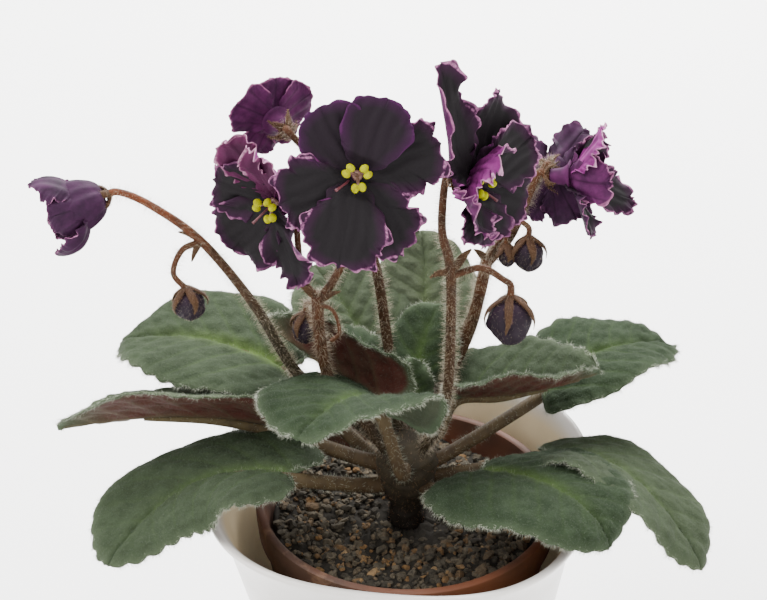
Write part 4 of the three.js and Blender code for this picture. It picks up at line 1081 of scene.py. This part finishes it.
def petal(node, order, flower, values):
    angle, length, width, root, end, cup, frill = values
    this = (node, order)
    half_open = node == "bud_half_open"
    plain_rim = order in PLAIN_RIMS.get(node, ())
    lean, swing = SWUNG.get(this, (0, 0))
    width *= SHRUNK.get(node, 1)
    cup, length, taper = FURLS.get(this, (cup, length * SHRUNK.get(node, 1), 0))
    outward = flower.outward(math.radians(angle + lean))
    across = np.cross(flower.axis, outward)
    half = width / 2
    piece, run, column = sheet_of(f"{node}_petal_{order + 1}", 130, 16)
    edge = np.abs(column)

    # The margin's notches run from one side round the tip to the other.
    around = (1 - run) * np.sign(column)
    shift = random.uniform(0, 6, 5)
    lace = 0.3 if plain_rim else 0.75 if half_open else 1.0
    uneven = 0.65 + 0.35 * np.sin(7 * around + shift[3])
    bend = around + 0.035 * np.sin(11 * around + shift[4])
    scallop = (0.62 * np.sin(17 * bend + shift[0]) + 0.34 * np.sin(41 * bend + shift[1])
               + 0.14 * np.sin(89 * bend + shift[2]) * uneven) * lace * NOTCHED.get(node, 1)
    free = held(run / 0.35)
    along, aside, inward = flat_place(PETAL_OUTLINE, length - PETAL_START, width, run, column,
                                      scallop * free)

    # The petal bends along its length and cups across it.
    share = along / length
    rise, over = math.radians(root), math.radians(end - root)
    out, forward = arc(rise, over, 1, share, length)
    slope = rise + over * share
    wide, lift = arc(0, math.radians(cup), 1, np.abs(aside) / half, half)
    wide = wide * (1 - taper * held(share) ** 2)

    # The frills near its margin.
    wave = frill * edge**2 * np.sin(run * 12.6 * np.sign(column) + order * 2)
    near = np.exp(-inward / 2.4) * free * lace
    close = np.exp(-inward / 0.8) * free * lace
    wild = 1.5 if frill > 1.15 else 1.0
    ruffle = (0.75 * wild * near * np.sin(13 * bend + 1.2 * np.sin(5 * around + shift[2]) + shift[3])
              + close * uneven * (0.85 * wild * np.sin(47 * bend + shift[4])
                                  + 0.38 * np.sin(103 * bend + shift[0])))
    rolled = near * (0.35 + 0.45 * np.sin(9 * around + shift[1]))
    streak = 0.16 * np.sin(1.9 * aside + 0.8 * np.sin(0.4 * along)) * held(inward / 3)
    layer = (PETAL_LAYERS[order] + LIFTED.get(this, 0)) * np.clip(along / 4, None, 1)
    belly = 2.3 * np.sin(math.pi * held(share)) if half_open else 0
    raised = lift + wave + ruffle + rolled + streak - belly
    set_points(piece, flower.place
               + outward * (PETAL_START + out - raised * np.sin(slope))[:, None]
               + flower.axis * (forward + raised * np.cos(slope) - 0.5 + layer)[:, None]
               + across * (np.sign(aside) * wide + swing * share**2)[:, None])
    rays = np.abs(np.sin(1.25 * np.arctan2(aside, along + 6) * 9))
    set_marks(piece, inward=inward / 10 + 0.3 * (1 - held(run / 0.4)),
              vein=held(1 - rays * 3) * held(inward / 2))
    thicken(piece, PETAL_BODY, inward,
            OTHER_FACES.get(this, PETAL_PLUM if plain_rim else PETAL_FACE),
            OTHER_BACKS.get(this, DUSKY.get(node, PETAL_BACK)))
    shown(piece, node, "petal")


def cup_of_bud(name, flower):
    """The rounded, folded cup of the half-open bud."""
    part = np.linspace(0, 1, 26)[:, None]
    cup = stem(name, flower.place + flower.axis * (CUP_LENGTH * part - TUBE_LENGTH),
               CUP_FOOT_RADIUS + CUP_SWELL * np.sin(math.pi / 2 * part[:, 0] ** 0.55), 48)
    around = points_of(cup) - flower.place
    far = around @ flower.axis
    ahead = far[:, None] * flower.axis
    turn = np.arctan2(around @ flower.up, around @ flower.right)
    folds = 1 + 0.045 * np.sin(5 * turn) + 0.03 * np.sin(13 * turn + 0.4 * far)
    set_points(cup, flower.place + ahead + (around - ahead) * folds[:, None])
    return cup


def tube_of_bloom(name, flower, petals):
    """The tube behind a bloom, up to where its petals begin to rise."""
    part = np.linspace(0, 1, 16)[:, None]
    end = 2.2 * math.sin(math.radians(np.mean([values[3] for values in petals]))) - 0.9
    return stem(name, flower.place + flower.axis * ((TUBE_LENGTH + end) * part - TUBE_LENGTH),
                TUBE_RADIUS * (0.8 + 0.2 * part[:, 0]) + 2.0 * part[:, 0] ** 6, 32)


def bloom(name, throat, faces, style_turn, petals):
    flower = Flower(throat, faces)
    for order, values in enumerate(petals):
        petal(name, order, flower, values)
    if name == "bud_half_open":
        tube = cup_of_bud(name + "_cup", flower)
    else:
        tube = tube_of_bloom(name + "_tube", flower, petals)
    set_marks(tube, inward=0.3)
    shown(tube, name, "petal", DUSKY.get(name, PETAL_BACK))
    if style_turn is None:
        return
    turn = math.radians(style_turn)
    route = [flower.at(*place, turn) for place in ((-1, 2.1), (2.5, 3), (5.5, 6))]
    style = stem(name + "_style", smooth_path(route, 10), STYLE_TAPER)
    shown(style, name, "petal", STYLE_RED)
    stamens(name.replace("bloom", "stamens"), flower, turn + math.pi)


def stamens(name, flower, turn):
    """Three pairs of anthers on filaments from one foot."""
    foot = stem(name + "_foot", [flower.at(forward, 0.3, turn) for forward in (GAP, 0.8, 1.3)],
                [1.4, 1.2, 0.9], 16)
    shown(foot, name, "anther", FILAMENT)
    start = flower.at(0.8, 0.3, turn)
    across = np.linspace(-1, 1, 25)
    lobes = 1.2 * np.sqrt(np.clip(1 - ((np.abs(across) - 0.5) / 0.5) ** 2, 0.02, 1))
    lobes = np.maximum(lobes, 0.7 * (np.abs(across) < 0.3))
    for i in range(3):
        angle = turn + (i - 1) * ANTHER_ANGLE
        filament = stem(f"{name}_filament_{i + 1}",
                        np.linspace(start, flower.at(4.2, 2.4, angle), 6), [0.5, 0.4, 0.5], 10)
        shown(filament, name, "anther", FILAMENT)
        low, high = (flower.at(4.4, 3.2, angle + half)
                     for half in (-ANTHER_HALF_ANGLE, ANTHER_HALF_ANGLE))
        line = low + (high - low) * ((across[:, None] + 1) / 2)
        shown(stem(f"{name}_anther_{i + 1}", line, lobes, 20), name, "anther", POLLEN)


# ---- buds and stalks ----------------------------------------------------------------------

def bud_section(part):
    """The radius of a bud's solid along its length, as a share of its greatest."""
    parts, wide = zip((0, 0), *BUD_SECTION, (1, 0))
    return np.interp(part, parts, wide)


def round_section(part):
    """The same, smoothed and rounded at both ends."""
    fine = np.linspace(0, 1, 60)
    blurred = np.mean([bud_section(held(fine + step))
                       for step in (-0.06, -0.03, 0, 0.03, 0.06)], axis=0)
    ends = held(np.sqrt(fine / 0.05)) * held(np.sqrt((1 - fine) / 0.06))
    return np.interp(part, fine, blurred * ends)


def bud(name, top, hangs, length, radius):
    """A closed bud, with five petals wound about one another."""
    flower = Flower(top, hangs)
    piece = added(name + "_petals", bpy.ops.mesh.primitive_uv_sphere_add, segments=60,
                  ring_count=30, radius=1)
    settle(piece)
    x, y, z = (points_of(piece) * MM).T
    part = np.arccos(np.clip(-z, -1, 1)) / math.pi
    turn = np.arctan2(y, x)
    wound = ((turn - part * 1.1) * 5 / (2 * math.pi)) % 1
    seam = np.minimum(wound / 0.12, 1) ** 0.6
    fold = 0.84 + 0.19 * seam * (1 - 0.45 * wound)
    tip = 0.15 * held((part - 0.65) / 0.3) * np.cos(5 * turn + 0.8)
    dents = (0.05 * np.sin(3 * turn + 6 * part) + 0.03 * np.sin(11 * turn + 5 * part)
             + 0.02 * np.sin(7 * turn - 17 * part)) * np.sin(math.pi * part)
    wide = radius * round_section(part) * (fold + tip + dents)
    set_points(piece, flower.place + flower.axis * (part * length + GAP)[:, None]
               + flower.right * (wide * np.cos(turn))[:, None]
               + flower.up * (wide * np.sin(turn))[:, None])
    # Here the vein mark is 1 along the seams, and the finish darkens them: painted shade between the
    # wound petals.
    set_marks(piece, inward=0.12 + 0.5 * part * (wound > 0.1), vein=1 - seam)
    shown(piece, name, "petal", BUD_SKIN)
    shown(coat(name + "_hairs", piece, "bud"), name, "petal", STEM_HAIR)


def seat_of(name):
    """Where a bloom or bud is held and how it points, and the line that its sepals follow."""
    if name in BLOOMS:
        throat, faces, *_ = BLOOMS[name]
        seat = Flower(throat - unit(faces) * (TUBE_LENGTH + GAP), faces)
        return seat, SEPAL_CUP if name == "bud_half_open" else SEPAL_BLOOM
    top, hangs, length, radius = BUDS[name]
    reach = [(bud_section(part) * radius * 1.02 + GAP + 0.3, part * length + GAP)
             for part in (0.14, 0.36, 0.58)]
    return Flower(top, hangs), [(0.5, -0.9), *reach]


def sepals(name, seat, reach):
    for i in range(5):
        angle = (i + 0.5) / 5 * 2 * math.pi
        across = np.cross(seat.axis, seat.outward(angle))
        path = smooth_path([seat.at(forward, out, angle) for out, forward in reach], 8)
        steps = len(path)
        sway = np.sin(np.linspace(0, 5.5, steps) + 2.1 * i) * np.linspace(0, 0.5, steps)
        yield stem(name + "_sepal", path + across * sway[:, None], SEPAL_TAPER, 12, across,
                   3.0, (0.1, 1))


def stalk(name, branches, bracts):
    """A stalk's stems with their down, and its sepals and bracts with theirs."""
    stems, fresh = [], []
    for path, radii, carried in branches:
        points = list(path)
        tone = (0.35, 0.5) if stems else (0, 0.5)
        if carried == "bud_half_open":
            tone = (-1.2, 1.9)
        if carried:
            seat, reach = seat_of(carried)
            points += [] if carried == "bud_left" else [seat.place - seat.axis * 3.5]
            points.append(seat.place)
            fresh += sepals(name, seat, reach)
        stems.append(stem(name + "_branch", smooth_path(points),
                          [STEM_SHARE * radius for radius in radii], 18, tone=tone))
    for start, end, width in bracts:
        start, end = np.array(start, float), np.array(end, float)
        line = smooth_path([start, (start + end) / 2 + (0, 0, 0.6), end], 8)
        fresh.append(stem(name + "_bract", line, BRACT_TAPER, 12,
                          unit(np.cross((0, 1, 0), end - start)), width * 1.15, (0.4, 1)))
    stems = joined(name + "_stems", stems)
    shown(stems, name, "stalk", STALK)
    length = sum(gone_along(path)[-1] for path, _, _ in branches)
    down = coat(name + "_hairs", stems, "stalk", length)
    fresh = joined(name + "_sepals", fresh)
    shown(fresh, name, "stalk", SEPAL_SKIN)
    sepal_down = coat(name + "_sepal_down", fresh, "sepals")
    shown(sepal_down, name, "stalk", SEPAL_HAIR)
    shown(down, name, "stalk", STEM_HAIR)


# ---- the plant ----------------------------------------------------------------------------

white_pot()
brown_pot()
potting_mix()
crown()
for make, table in ((stalk, STALKS), (leaf, LEAVES), (bloom, BLOOMS), (bud, BUDS)):
    for name, shape in table.items():
        make(name, *shape)


# ---- floor, light and camera --------------------------------------------------------------

def studio():
    floor = added("floor", bpy.ops.mesh.primitive_plane_add, size=12, location=(0, 2.0, 0))
    finish = Finish("pale_floor")
    # The floor is painted darker toward the camera and lighter behind the plant: a painted falloff
    # of light.
    away = finish.node("SeparateXYZ", inputs={0: finish.place}, output=1)
    painted_falloff = finish.fade(away + 2.15 + finish.noise(3, 2) * 0.1, 0.0, 0.85)
    white = finish.mix((0.86, 0.86, 0.86), (0.97, 0.97, 0.97), painted_falloff)
    floor.data.materials.append(finish.surface(white, 0.9))

    world = bpy.data.worlds.new("soft_room")
    bpy.context.scene.world = world
    world.use_nodes = True
    background = world.node_tree.nodes["Background"]
    background.inputs["Color"].default_value = ROOM_COLOUR
    background.inputs["Strength"].default_value = ROOM_LIGHT

    for name, (place, size, power) in LIGHTS.items():
        data = bpy.data.lights.new(name, "AREA")
        data.size = size
        data.energy = power
        lamp = bpy.data.objects.new(name, data)
        bpy.context.scene.collection.objects.link(lamp)
        lamp.location = place
        aim = Vector((0, 0, 0.13)) - Vector(place)
        lamp.rotation_euler = aim.to_track_quat("-Z", "Y").to_euler()

    data = bpy.data.cameras.new("view")
    data.sensor_width = SENSOR
    data.lens = LENS_SHARE * SENSOR
    camera = bpy.data.objects.new("view", data)
    bpy.context.scene.collection.objects.link(camera)
    camera.location = CAMERA_PLACE
    camera.rotation_euler = (math.radians(90 - CAMERA_LOOKS_DOWN), 0, 0)
    bpy.context.scene.camera = camera


studio()
